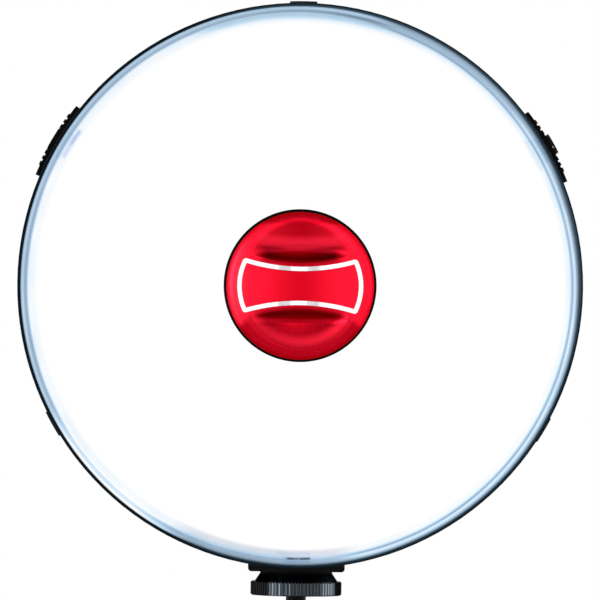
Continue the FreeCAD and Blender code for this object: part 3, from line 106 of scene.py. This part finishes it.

# Painted patches where the clips show through the band: angle, radius, cosine at their ends,
# strength
CLIP_PATCHES = (
    (30.0, 0.0686, 0.9980, 0.15),
    (149.0, 0.0691, 0.9983, 0.4),
    (147.3, 0.0691, 0.9995, 0.4),
    (269.3, 0.0688, 0.9980, 0.2),
)
PATCH_HALF_WIDTH = 0.00045
PATCH_EDGE = 0.0004
PATCH_END_EDGE = 0.0003

# The knob's waisted grip bar and its finger dishes, from the middle of the knob
BAR_HALF_HEIGHT = 0.0059
BAR_CURVE = 8.0
DISH_CENTRE = 0.0022
DISH_RADIUS = 0.0141
LIP_HALF_WIDTH = 0.0003
FOOT_DROP_START = 0.0115
INLAY_MIDDLE = -0.0003

# Fades in metres, each from where it starts to where it is full
OUTWARD_FADE = (0.0, 0.013)
LEFT_EDGE_FADE = (-0.012, -0.018)
FOOT_FADE = (-0.0050, -0.0080)
TOP_FADE = (0.0154, 0.0166)
UPPER_DISH_FADE = (0.0, 0.004)
BAND_END_FADE = (0.012, 0.009)
CREVICE_END_FADE = (0.0125, 0.008)
ABOVE_BAR_FADE = (-0.001, 0.001)
NOSE_FADE = (0.0002, 0.0007)

# Painted shade of the crevice beside the bar as (share of its reach, darkness), from inside the
# edge
CREVICE_START = 0.001
CREVICE_REACH = 1 / 150
HIGH_CREVICE = (
    (0.0, 0.0), (0.1, 0.55), (0.19, 0.75), (0.3, 0.98), (0.42, 0.85),
    (0.54, 0.6), (0.64, 0.6), (0.74, 0.15), (0.9, 0.0),
)
LOW_CREVICE = (
    (0.0, 0.0), (0.1, 0.4), (0.19, 0.5), (0.3, 0.7),
    (0.42, 0.25), (0.54, 0.0), (0.65, 0.2), (0.8, 0.0),
)

# Painted highlights as pale streaks on the lock wheel: place across it, half width, strength
WHEEL_HIGHLIGHT_STREAKS = (
    (-0.0042, 0.0003, 0.8),
    (-0.0026, 0.0003, 0.2),
    (-0.0017, 0.0002, 0.45),
    (0.0081, 0.0016, 0.24),
)
STREAK_EDGE = 0.0002
# Middle of the wheel's lit stretch, then where its painted shade fades in at the flanks and goes
# deeper on the right
WHEEL_LIGHT_MIDDLE = 0.00145
WHEEL_FLANK_FADE = (0.0084, 0.0089)
WHEEL_RIGHT_FADE = (-0.002, 0.002)

# Painted glint, a pale dot on the plug in the right grip pad
DOT_CENTRE = (0.0646, 0.0, 0.1544)
DOT_FADE = (0.00045, 0.00025)


def srgb(red, green, blue):
    """Linear colour of an 8-bit screen colour."""
    linear = []
    for value in (red, green, blue):
        share = value / 255
        linear.append(share / 12.92 if share <= 0.04045 else ((share + 0.055) / 1.055) ** 2.4)
    return (*linear, 1.0)


def shaded(colour, share, lift=0.0):
    """Darker or lighter form of a colour."""
    return (*(min(1.0, share * value + lift) for value in colour[:3]), 1.0)


# Node helpers


def feed(tree, socket, value):
    """Links a socket to an output, or sets it to a plain value."""
    if isinstance(value, bpy.types.NodeSocket):
        tree.links.new(value, socket)
    else:
        socket.default_value = value


def node(tree, kind, inputs=None, **settings):
    """New node with its settings made and its inputs fed."""
    made = tree.nodes.new(kind)
    for name, value in settings.items():
        setattr(made, name, value)
    for name, value in (inputs or {}).items():
        feed(tree, made.inputs[name], value)
    return made


def calc(tree, operation, *values, clamp=False):
    """Number that a single operation makes of its values."""
    made = node(tree, "ShaderNodeMath", operation=operation, use_clamp=clamp)
    for socket, value in zip(made.inputs, values):
        feed(tree, socket, value)
    return made.outputs[0]


def product(tree, first, *others):
    """All the numbers multiplied."""
    for value in others:
        first = calc(tree, "MULTIPLY", first, value)
    return first


def total(tree, first, *others):
    """All the numbers added."""
    for value in others:
        first = calc(tree, "ADD", first, value)
    return first


def unsigned(tree, value):
    """A number without its sign."""
    return calc(tree, "ABSOLUTE", value)


def hypotenuse(tree, first, second):
    """Distance that two offsets at right angles make."""
    square = total(tree, product(tree, first, first), product(tree, second, second))
    return calc(tree, "SQRT", square)


def ramp(tree, factor, stops):
    """Colour that follows (position, colour) stops."""
    made = node(tree, "ShaderNodeValToRGB", {"Fac": factor})
    elements = made.color_ramp.elements
    for position, colour in stops[2:]:
        elements.new(position)
    for element, (position, colour) in zip(elements, stops):
        element.position = position
        element.color = colour
    return made.outputs["Color"]


def curve(tree, factor, stops):
    """Plain number that follows (position, value) stops."""
    greys = [(position, (value, value, value, 1.0)) for position, value in stops]
    return ramp(tree, factor, greys)


def mix(tree, factor, first, second, blend="MIX"):
    """Colour between two others, or one that another blend makes of them."""
    made = node(tree, "ShaderNodeMix", data_type="RGBA", blend_type=blend)
    feed(tree, made.inputs[0], factor)
    feed(tree, made.inputs[6], first)
    feed(tree, made.inputs[7], second)
    return made.outputs[2]


def span(tree, value, low, high, to_low=0.0, to_high=1.0):
    """Smooth step of a value from one range to another."""
    made = node(
        tree,
        "ShaderNodeMapRange",
        {"Value": value, "From Min": low, "From Max": high, "To Min": to_low, "To Max": to_high},
        interpolation_type="SMOOTHSTEP",
    )
    return made.outputs["Result"]


def near(tree, value, middle, half_width, soft):
    """1 within a half width of a middle value, with soft edges."""
    off = unsigned(tree, calc(tree, "SUBTRACT", value, middle))
    return span(tree, off, half_width - soft, half_width + soft, 1.0, 0.0)


def place(tree):
    """The object's own coordinates."""
    return node(tree, "ShaderNodeTexCoord").outputs["Object"]


def offsets(tree, origin=(0.0, 0.0, 0.0)):
    """How far a point lies from an origin along X, Y and Z."""
    away = node(tree, "ShaderNodeVectorMath", {0: place(tree), 1: origin}, operation="SUBTRACT")
    return node(tree, "ShaderNodeSeparateXYZ", {0: away.outputs[0]}).outputs


def noise(tree, vector, scale, detail=3.0, roughness=0.5):
    """Cloudy number about a half."""
    made = node(
        tree,
        "ShaderNodeTexNoise",
        {"Vector": vector, "Scale": scale, "Detail": detail, "Roughness": roughness},
    )
    return made.outputs["Fac"]


def bump(tree, height, strength, distance):
    """Surface direction that a height makes."""
    made = node(
        tree, "ShaderNodeBump", {"Height": height, "Strength": strength, "Distance": distance}
    )
    return made.outputs["Normal"]


def new_material(name):
    """New material with its node tree and its shader."""
    material = bpy.data.materials.new(name)
    material.use_nodes = True
    tree = material.node_tree
    return material, tree, tree.nodes["Principled BSDF"]


def lamp_polar(tree):
    """Distance from the lamp's axis, and the cosine and sine of the angle round it."""
    across, _, up = offsets(tree, LAMP_CENTRE)
    radius = hypotenuse(tree, across, up)
    return radius, calc(tree, "DIVIDE", across, radius), calc(tree, "DIVIDE", up, radius)


def towards(tree, right, up, angle, low, high):
    """Rises to 1 near an angle round the lamp, in degrees upwards from the right.

    It rises where the cosine of the angle between them goes from low to high.
    """
    turn = math.radians(angle)
    across = product(tree, right, math.cos(turn))
    return span(tree, calc(tree, "MULTIPLY_ADD", up, math.sin(turn), across), low, high)


# Plain finishes


def grained(name, colour, roughness, metallic=0.0, grain=4000.0, depth=0.00002, specular=0.5):
    """Moulded, cast or anodised surface with a fine grain and a slow change in colour and gloss."""
    material, tree, shader = new_material(name)
    fine = noise(tree, place(tree), grain, 4.0, 0.6)
    slow = noise(tree, place(tree), 90.0, 2.0)
    darker = shaded(colour, 0.82)
    lighter = shaded(colour, 1.12, 0.002)
    mottled = mix(tree, span(tree, slow, 0.3, 0.7), darker, lighter)
    feed(tree, shader.inputs["Base Color"], mix(tree, product(tree, fine, 0.3), mottled, colour))
    shine = calc(tree, "MULTIPLY_ADD", slow, 0.12, roughness - 0.06)
    feed(tree, shader.inputs["Roughness"], shine)
    shader.inputs["Metallic"].default_value = metallic
    shader.inputs["Specular IOR Level"].default_value = specular
    feed(tree, shader.inputs["Normal"], bump(tree, fine, 0.35, depth))
    return material


def turned_metal(name, colour, roughness):
    """Bare metal with the fine rings that a lathe leaves."""
    material, tree, shader = new_material(name)
    squeezed = node(tree, "ShaderNodeMapping", {"Vector": place(tree), "Scale": (1.0, 6.0, 6.0)})
    lines = noise(tree, squeezed.outputs["Vector"], 3000.0, 2.0)
    feed(tree, shader.inputs["Base Color"], mix(tree, lines, shaded(colour, 0.8), colour))
    feed(tree, shader.inputs["Roughness"], calc(tree, "MULTIPLY_ADD", lines, 0.2, roughness - 0.1))
    shader.inputs["Metallic"].default_value = 1.0
    feed(tree, shader.inputs["Normal"], bump(tree, lines, 0.2, 0.00001))
    return material


def smoked_glass(name):
    """Dark window over the display, slightly smeared."""
    material, tree, shader = new_material(name)
    smear = noise(tree, place(tree), 40.0, 3.0)
    feed(tree, shader.inputs["Base Color"], mix(tree, smear, srgb(10, 12, 14), srgb(16, 19, 22)))
    feed(tree, shader.inputs["Roughness"], calc(tree, "MULTIPLY_ADD", smear, 0.08, 0.04))
    return material


# Rim, clear band, clips and disc, which share one painted fade of light from the dark edge to the
# lit disc


def rim_depth(tree, radius, right, up, on_right):
    """How far a point lies inside the lamp's edge, as a share of the fade, which leans a little."""
    at_left = towards(tree, right, up, *RIM_LEFT)
    lean = calc(tree, "MULTIPLY_ADD", at_left, LEFT_LEAN, product(tree, up, on_right, UPPER_LEAN))
    inward = total(tree, calc(tree, "SUBTRACT", LAMP_RADIUS, radius), lean)
    return calc(tree, "DIVIDE", inward, RIM_FADE)


def painted_rim_variation(tree, right, up, depth):
    """Painted light: clouds near the edge, two painted dim stretches on the right and a painted
    glint at the lower left.
    """
    clouds = calc(tree, "SUBTRACT", noise(tree, place(tree), 70.0, 2.0), 0.5)
    clouds = product(tree, clouds, span(tree, depth, 0.5, 1.0, 0.12, 0.0))
    upper_dim = towards(tree, right, up, *UPPER_DIM)
    upper_dim = product(tree, upper_dim, near(tree, depth, *UPPER_DIM_DEPTH), -0.16)
    outer_dim = towards(tree, right, up, *OUTER_DIM)
    outer_dim = product(tree, outer_dim, near(tree, depth, *OUTER_DIM_DEPTH), -0.2)
    glint = towards(tree, right, up, *GLINT)
    glint = product(tree, glint, span(tree, depth, 0.35, 0.6, 1.0, 0.0), 0.24)
    return total(tree, clouds, upper_dim, outer_dim, glint)


def rim_light(tree):
    """How light the rim is painted, from the lamp's outer edge to the white disc."""
    radius, right, up = lamp_polar(tree)
    on_right = span(tree, right, -0.3, 0.3)
    depth = rim_depth(tree, radius, right, up, on_right)
    at_top = towards(tree, right, up, *RIM_TOP)
    at_bottom = towards(tree, right, up, *RIM_BOTTOM)
    light = mix(tree, on_right, curve(tree, depth, LEFT_LIGHT), curve(tree, depth, RIGHT_LIGHT))
    light = mix(tree, at_top, light, curve(tree, depth, TOP_LIGHT))
    light = mix(tree, at_bottom, light, curve(tree, depth, BOTTOM_LIGHT))
    return calc(tree, "ADD", light, painted_rim_variation(tree, right, up, depth), clamp=True)


def rim_tint(tree, light):
    """Colour of the painted light: navy in the dark, steel blue and pale blue in between, white in
    the full light.
    """
    blues = (
        (0.0, srgb(6, 14, 22)),
        (0.29, srgb(50, 73, 91)),
        (0.5, srgb(100, 128, 150)),
        (0.7, srgb(147, 179, 206)),
        (0.86, srgb(190, 220, 241)),
        (0.94, srgb(228, 240, 250)),
        (1.0, srgb(255, 255, 255)),
    )
    clouds = noise(tree, place(tree), 160.0, 2.0)
    hue = mix(tree, clouds, (1.0, 0.95, 1.0, 1.0), (0.93, 1.0, 0.98, 1.0))
    in_shade = span(tree, light, 0.85, 0.98, 1.0, 0.0)
    tint = mix(tree, in_shade, ramp(tree, light, blues), hue, "MULTIPLY")
    radius, right, up = lamp_polar(tree)
    at_bottom = towards(tree, right, up, *RIM_BOTTOM)
    greyer = product(tree, near(tree, radius, *GREY_UNDERSIDE), at_bottom)
    return mix(tree, greyer, tint, (1.0, 0.9, 0.87, 1.0), "MULTIPLY")


def clips_painted_through_band(tree, colour):
    """Pale patches painted where the three clips show through, where the band meets the disc."""
    radius, right, up = lamp_polar(tree)
    for angle, middle, end, strength in CLIP_PATCHES:
        ring = near(tree, radius, middle, PATCH_HALF_WIDTH, PATCH_EDGE)
        within = towards(tree, right, up, angle, end - PATCH_END_EDGE, end + PATCH_END_EDGE)
        patch = product(tree, ring, within, strength)
        colour = mix(tree, patch, colour, srgb(130, 165, 225))
    return colour


def band_colour(tree):
    """The rim's painted light and tint, with painted patches where the clips show through."""
    return clips_painted_through_band(tree, rim_tint(tree, rim_light(tree)))


def clip_colour(tree):
    """The band's painted light, with a painted shadow as a dark line along the lowest clip's edge.
    """
    radius, right, up = lamp_polar(tree)
    across = product(tree, right, radius)
    edge = srgb(26, 48, 74)
    edge = mix(tree, near(tree, across, *CLIP_WARM_SPOT), edge, srgb(120, 108, 84))
    edge = mix(tree, near(tree, across, *CLIP_PALE_GAP), edge, srgb(120, 160, 190))
    along_rim = near(tree, radius, *CLIP_LINE)
    within = near(tree, across, *CLIP_LINE_ACROSS)
    lowest = span(tree, up, 0.0, -0.5)
    return mix(tree, product(tree, along_rim, within, lowest), band_colour(tree), edge)


def lit_plastic(name, colour_of):
    """Clear plastic whose glow is painted light: its colour shows dimmed on the surface and as
    emission, in place of the disc's light shining through it.
    """
    material, tree, shader = new_material(name)
    colour = colour_of(tree)
    dimmed = mix(tree, 1.0, colour, (0.45, 0.45, 0.45, 1.0), "MULTIPLY")
    feed(tree, shader.inputs["Base Color"], dimmed)
    feed(tree, shader.inputs["Emission Color"], colour)
    shader.inputs["Emission Strength"].default_value = 0.6
    shader.inputs["Roughness"].default_value = 0.3
    return material


def clear_band(name):
    """The stepped band between the rim and the disc."""
    return lit_plastic(name, band_colour)


def clip_clear(name):
    """The clips in the band."""
    return lit_plastic(name, clip_colour)


def opal_disc(name):
    """Disc seen lit: white, with a trace of the band's painted light and tint where it meets the
    band.
    """
    material, tree, shader = new_material(name)
    cloud = noise(tree, place(tree), 60.0, 2.0)
    glow = mix(tree, cloud, srgb(253, 253, 253), srgb(255, 255, 255))
    shader.inputs["Base Color"].default_value = (0.02, 0.02, 0.02, 1.0)
    feed(tree, shader.inputs["Emission Color"], mix(tree, 1.0, band_colour(tree), glow, "MULTIPLY"))
    shader.inputs["Emission Strength"].default_value = 1.0
    shader.inputs["Roughness"].default_value = 0.6
    shader.inputs["Specular IOR Level"].default_value = 0.0
    return material


def rim_gloss(name):
    """Dark nose of the rim with a painted deep blue glow beside the band, most on its upper right.
    """
    material, tree, shader = new_material(name)
    radius, right, up = lamp_polar(tree)
    inner = span(tree, calc(tree, "SUBTRACT", LAMP_RADIUS, radius), *NOSE_FADE)
    upper_right = towards(tree, right, up, *UPPER_GLOW)
    lower_right = product(tree, towards(tree, right, up, *LOWER_GLOW), 0.4)
    # Painted glow at the inner edge, most on the upper right and less on the lower right
    glow = product(tree, inner, calc(tree, "MAXIMUM", upper_right, lower_right))
    slow = noise(tree, place(tree), 60.0, 2.0)
    dark = mix(tree, slow, srgb(8, 17, 24), srgb(12, 26, 36))
    feed(tree, shader.inputs["Base Color"], mix(tree, glow, dark, srgb(56, 78, 94)))
    feed(tree, shader.inputs["Roughness"], calc(tree, "MULTIPLY_ADD", slow, 0.1, 0.35))
    shader.inputs["Specular IOR Level"].default_value = 0.02
    return material


# Knob and its inlay


def knob_foot(tree, across, height):
    """1 on the lower part of the knob, under a line that drops towards its sides."""
    flank = calc(tree, "MAXIMUM", calc(tree, "SUBTRACT", across, FOOT_DROP_START), 0.0)
    return span(tree, total(tree, height, flank), *FOOT_FADE)


def knob_red_with_painted_light(tree, side, across, height, foot):
    """Red with painted light: deeper in the middle, a painted sheen that makes it lighter towards
    the sides and at the left edge, and painted shade that makes it darkest at the foot and top.
    """
    outward = span(tree, across, *OUTWARD_FADE)
    at_left = span(tree, side, *LEFT_EDGE_FADE)
    at_top = span(tree, height, *TOP_FADE)
    ground = mix(tree, outward, srgb(196, 5, 27), srgb(240, 22, 48))
    ground = mix(tree, at_left, ground, srgb(252, 46, 70))
    return mix(tree, calc(tree, "MAXIMUM", foot, at_top), ground, srgb(174, 4, 25))


def knob_painted_highlights(tree, across, height, from_bar, foot):
    """1 on the painted highlight bands: round the foot, and along the bar in the upper dish."""
    radius, right, _ = lamp_polar(tree)
    low_band = near(tree, radius, *LOW_BAND)
    low_band = product(tree, low_band, foot, span(tree, right, -0.7, 0.7, 0.6, 1.0))
    high_band = near(tree, from_bar, *HIGH_BAND)
    high_band = product(tree, high_band, span(tree, height, *UPPER_DISH_FADE), 0.95)
    high_band = product(tree, high_band, span(tree, across, *BAND_END_FADE))
    return calc(tree, "MAXIMUM", low_band, high_band)


def dish_lip(tree, across, height):
    """1 on the lip of each finger dish."""
    drop = calc(tree, "SUBTRACT", unsigned(tree, height), DISH_CENTRE)
    return near(tree, hypotenuse(tree, drop, across), DISH_RADIUS, LIP_HALF_WIDTH, LIP_HALF_WIDTH)


def painted_crevice_shade(tree, across, height, from_bar):
    """How dark the painted shade is in the dishes beside the bar's walls."""
    along = calc(tree, "DIVIDE", total(tree, from_bar, CREVICE_START), CREVICE_REACH)
    above = span(tree, height, *ABOVE_BAR_FADE)
    dark = mix(tree, above, curve(tree, along, LOW_CREVICE), curve(tree, along, HIGH_CREVICE))
    return product(tree, dark, span(tree, across, *CREVICE_END_FADE))


def red_anodised(name):
    """Blasted and dyed aluminium: a fine sparkle in a red with painted highlights, and painted
    shade that deepens it beside the grip bar.
    """
    material, tree, shader = new_material(name)
    side, _, height = offsets(tree, LAMP_CENTRE)
    across = unsigned(tree, side)
    bar_edge = calc(tree, "MULTIPLY_ADD", product(tree, across, across), BAR_CURVE, BAR_HALF_HEIGHT)
    from_bar = calc(tree, "SUBTRACT", unsigned(tree, height), bar_edge)
    foot = knob_foot(tree, across, height)
    # Painted sheen towards the sides and painted shade at the foot and top
    red = knob_red_with_painted_light(tree, side, across, height, foot)
    # Painted highlight bands
    red = mix(tree, knob_painted_highlights(tree, across, height, from_bar, foot), red, srgb(255, 34, 62))
    # Painted shade on the lower dish's lip, which dims the highlight its rounded edge catches
    lip = product(tree, dish_lip(tree, across, height), foot, 0.5)
    red = mix(tree, lip, red, srgb(120, 0, 12))
    sparkle = noise(tree, place(tree), 4200.0, 2.0, 0.7)
    red = mix(tree, span(tree, sparkle, 0.55, 0.8, 0.0, 0.4), red, srgb(255, 70, 86))
    red = mix(tree, span(tree, sparkle, 0.45, 0.2, 0.0, 0.5), red, srgb(150, 0, 16))
    # Painted shade in the crevices beside the grip bar
    red = mix(tree, painted_crevice_shade(tree, across, height, from_bar), red, srgb(55, 0, 2))
    feed(tree, shader.inputs["Base Color"], red)
    feed(tree, shader.inputs["Roughness"], calc(tree, "MULTIPLY_ADD", sparkle, 0.2, 0.3))
    shader.inputs["Metallic"].default_value = 0.92
    shader.inputs["Specular IOR Level"].default_value = 0.0
    shader.inputs["Specular Tint"].default_value = (0.7, 0.02, 0.06, 1.0)
    feed(tree, shader.inputs["Normal"], bump(tree, sparkle, 0.4, 0.00002))
    return material


def silver_inlay(name):
    """Bright inlay, streaked grey in a patch either side of the middle of its long sides."""
    material, tree, shader = new_material(name)
    side, _, _ = offsets(tree)
    off_middle = unsigned(tree, calc(tree, "SUBTRACT", side, INLAY_MIDDLE))
    patch = near(tree, off_middle, *INLAY_PATCH)
    streaks = noise(tree, place(tree), 1400.0, 2.0)
    grey = mix(tree, streaks, srgb(180, 175, 180), srgb(228, 222, 226))
    feed(tree, shader.inputs["Base Color"], mix(tree, patch, srgb(255, 246, 249), grey))
    shader.inputs["Metallic"].default_value = 0.7
    shader.inputs["Roughness"].default_value = 0.3
    return material


# Wheel and plug


def wheel_black(name):
    """Dark gloss plating on the wheel, deeper at its two sides, as the photograph shows it."""
    material, tree, shader = new_material(name)
    fine = noise(tree, place(tree), 3000.0, 2.0)
    side, _, _ = offsets(tree)
    tone = mix(tree, fine, srgb(60, 66, 72), srgb(74, 80, 88))
    # Painted highlights: pale streaks where the knurl catches the lights
    for middle, half_width, strength in WHEEL_HIGHLIGHT_STREAKS:
        streak_highlight = product(tree, near(tree, side, middle, half_width, STREAK_EDGE), strength)
        tone = mix(tree, streak_highlight, tone, srgb(158, 168, 178))
    # Painted shade on both flanks, deeper on the right
    off_middle = unsigned(tree, calc(tree, "SUBTRACT", side, WHEEL_LIGHT_MIDDLE))
    flank = span(tree, off_middle, *WHEEL_FLANK_FADE)
    on_right = span(tree, side, *WHEEL_RIGHT_FADE)
    shade = mix(tree, on_right, srgb(38, 38, 40), srgb(18, 18, 19))
    feed(tree, shader.inputs["Base Color"], mix(tree, flank, tone, shade))
    feed(tree, shader.inputs["Roughness"], calc(tree, "MULTIPLY_ADD", fine, 0.06, 0.18))
    shader.inputs["Metallic"].default_value = 1.0
    shader.inputs["Specular Tint"].default_value = (0.0, 0.0, 0.0, 1.0)
    return material


def plug_with_painted_glint(name):
    """Black plug with a painted glint as a small pale dot in the middle of its face."""
    material, tree, shader = new_material(name)
    side, _, height = offsets(tree, DOT_CENTRE)
    dot = span(tree, hypotenuse(tree, side, height), *DOT_FADE)
    fine = noise(tree, place(tree), 7000.0, 4.0)
    black = mix(tree, fine, srgb(11, 11, 12), srgb(17, 17, 18))
    feed(tree, shader.inputs["Base Color"], mix(tree, dot, black, srgb(190, 200, 208)))
    feed(tree, shader.inputs["Roughness"], calc(tree, "MULTIPLY_ADD", fine, 0.1, 0.4))
    shader.inputs["Metallic"].default_value = 0.3
    shader.inputs["Specular IOR Level"].default_value = 0.1
    return material


# The record's material slots


def grained_finishes():
    """Grained materials by slot."""
    finishes = {
        "black_shell": dict(colour=srgb(10, 10, 11), roughness=0.55, specular=0.1),
        "black_gloss": dict(
            colour=srgb(8, 8, 9), roughness=0.22, grain=900.0, depth=0.000004, specular=0.12
        ),
        "black_anodised": dict(
            colour=srgb(14, 14, 15),
            roughness=0.42,
            metallic=0.6,
            grain=7000.0,
            depth=0.00001,
            specular=0.1,
        ),
        "black_rubber": dict(
            colour=srgb(8, 8, 9), roughness=0.75, grain=2500.0, depth=0.00004, specular=0.05
        ),
        "white_plastic": dict(colour=srgb(235, 236, 238), roughness=0.5),
        "circuit_board": dict(colour=srgb(16, 78, 44), roughness=0.35),
        "white_board": dict(colour=srgb(232, 232, 226), roughness=0.4),
        "led_phosphor": dict(colour=srgb(244, 222, 110), roughness=0.4),
        "display_panel": dict(colour=srgb(40, 48, 50), roughness=0.3),
        "chip_black": dict(colour=srgb(34, 34, 36), roughness=0.5),
        "grey_nylon": dict(colour=srgb(112, 112, 115), roughness=0.5),
        "battery_case": dict(colour=srgb(32, 32, 35), roughness=0.5, specular=0.35),
    }
    return {slot: grained(slot, **finish) for slot, finish in finishes.items()}


def bare_metals():
    """Turned metals by slot."""
    finishes = {
        "plain_aluminium": (srgb(205, 207, 210), 0.4),
        "steel": (srgb(190, 190, 194), 0.3),
        "brass": (srgb(215, 178, 96), 0.3),
    }
    return {slot: turned_metal(slot, *finish) for slot, finish in finishes.items()}


def painted_finishes():
    """Materials that change over the part, by slot."""
    makers = {
        "rim_gloss": rim_gloss,
        "clear_band": clear_band,
        "clip_clear": clip_clear,
        "opal_disc": opal_disc,
        "red_anodised": red_anodised,
        "silver_inlay": silver_inlay,
        "wheel_black": wheel_black,
        "display_glass": smoked_glass,
    }
    return {slot: maker(slot) for slot, maker in makers.items()}


def dress_nodes():
    """Gives every CAD node the material of its slot, and the plug its painted glint."""
    materials = {**grained_finishes(), **bare_metals(), **painted_finishes()}
    for part in frame["record"]["subparts"]:
        target = frame["nodes"][part["node"]]
        target.data.materials.clear()
        target.data.materials.append(materials[part["material_slot"]])
    frame["nodes"]["right_plug"].data.materials[0] = plug_with_painted_glint("plug_black")


# Stage, light and camera


def floor_material():
    """Pale floor round the object that fades into the white background."""
    material, tree, shader = new_material("floor")
    across, along, _ = offsets(tree)
    from_middle = hypotenuse(tree, across, along)
    faded = span(tree, from_middle, FLOOR_FADE_START, FLOOR_FADE_END)
    grain = noise(tree, place(tree), 300.0, 2.0)
    pale = mix(tree, grain, srgb(238, 238, 238), srgb(244, 244, 244))
    feed(tree, shader.inputs["Base Color"], pale)
    shader.inputs["Roughness"].default_value = 0.8
    shader.inputs["Specular IOR Level"].default_value = 0.1
    rays = node(tree, "ShaderNodeLightPath")
    mirrored = product(tree, rays.outputs["Is Glossy Ray"], 0.5)
    shader.inputs["Emission Color"].default_value = (1.0, 1.0, 1.0, 1.0)
    feed(tree, shader.inputs["Emission Strength"], mirrored)
    clear = node(tree, "ShaderNodeBsdfTransparent")
    both = node(tree, "ShaderNodeMixShader", {0: faded, 1: shader.outputs[0], 2: clear.outputs[0]})
    feed(tree, tree.nodes["Material Output"].inputs["Surface"], both.outputs[0])
    return material


def add_floor():
    """Round floor just under the foot, which isn't part of the object."""
    mesh = bpy.data.meshes.new("floor")
    form = bmesh.new()
    bmesh.ops.create_circle(form, cap_ends=True, segments=96, radius=FLOOR_RADIUS)
    form.to_mesh(mesh)
    form.free()
    floor = bpy.data.objects.new("floor", mesh)
    floor.location = (0.0, 0.0, -FLOOR_DROP)
    floor.data.materials.append(floor_material())
    bpy.context.scene.collection.objects.link(floor)


def direction(azimuth, elevation):
    """Unit vector from the object towards a viewer at an azimuth and elevation in degrees."""
    turn = math.radians(azimuth)
    rise = math.radians(elevation)
    return Vector(
        (math.sin(turn) * math.cos(rise), -math.cos(turn) * math.cos(rise), math.sin(rise))
    )


def add_softbox(name, azimuth, elevation, distance, size, watts):
    """Rectangular light that faces the lamp's centre, placed by its direction as the views are."""
    data = bpy.data.lights.new(name, "AREA")
    data.shape = "RECTANGLE"
    data.size, data.size_y = size
    data.energy = watts
    softbox = bpy.data.objects.new(name, data)
    back = direction(azimuth, elevation)
    softbox.location = Vector(LAMP_CENTRE) + back * distance
    softbox.rotation_mode = "QUATERNION"
    softbox.rotation_quaternion = (-back).to_track_quat("-Z", "Y")
    bpy.context.scene.collection.objects.link(softbox)


def set_world():
    """White behind everything and in reflections, a softer white as ambient light."""
    world = bpy.data.worlds.new("studio")
    bpy.context.scene.world = world
    world.use_nodes = True
    tree = world.node_tree
    rays = node(tree, "ShaderNodeLightPath")
    seen = calc(tree, "MAXIMUM", rays.outputs["Is Camera Ray"], rays.outputs["Is Glossy Ray"])
    seen = calc(tree, "MAXIMUM", seen, rays.outputs["Is Transmission Ray"])
    strength = calc(tree, "MULTIPLY_ADD", seen, 1.0 - AMBIENT_STRENGTH, AMBIENT_STRENGTH)
    background = tree.nodes["Background"]
    background.inputs["Color"].default_value = (1.0, 1.0, 1.0, 1.0)
    feed(tree, background.inputs["Strength"], strength)


def photo_camera():
    """Camera at the photograph's viewing angle."""
    data = bpy.data.cameras.new("photo_camera")
    data.sensor_width = 36.0
    data.lens = CAMERA_LENS
    data.clip_start = 0.1
    data.clip_end = 20.0
    camera = bpy.data.objects.new("photo_camera", data)
    back = direction(CAMERA_AZIMUTH, CAMERA_ELEVATION)
    turn = (-back).to_track_quat("-Z", "Y")
    up = turn @ Vector((0.0, 1.0, 0.0))
    aim = Vector((0.0, FRONT_Y, LAMP_Z)) - up * AIM_DOWN
    camera.location = aim + back * CAMERA_DISTANCE
    camera.rotation_mode = "QUATERNION"
    camera.rotation_quaternion = turn @ Quaternion((0.0, 0.0, 1.0), math.radians(CAMERA_ROLL))
    bpy.context.scene.collection.objects.link(camera)
    bpy.context.scene.camera = camera


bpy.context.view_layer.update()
bpy.context.scene.view_settings.view_transform = "Standard"
photo_camera()
set_world()
for softbox in SOFTBOXES:
    add_softbox(*softbox)
add_floor()
dress_nodes()
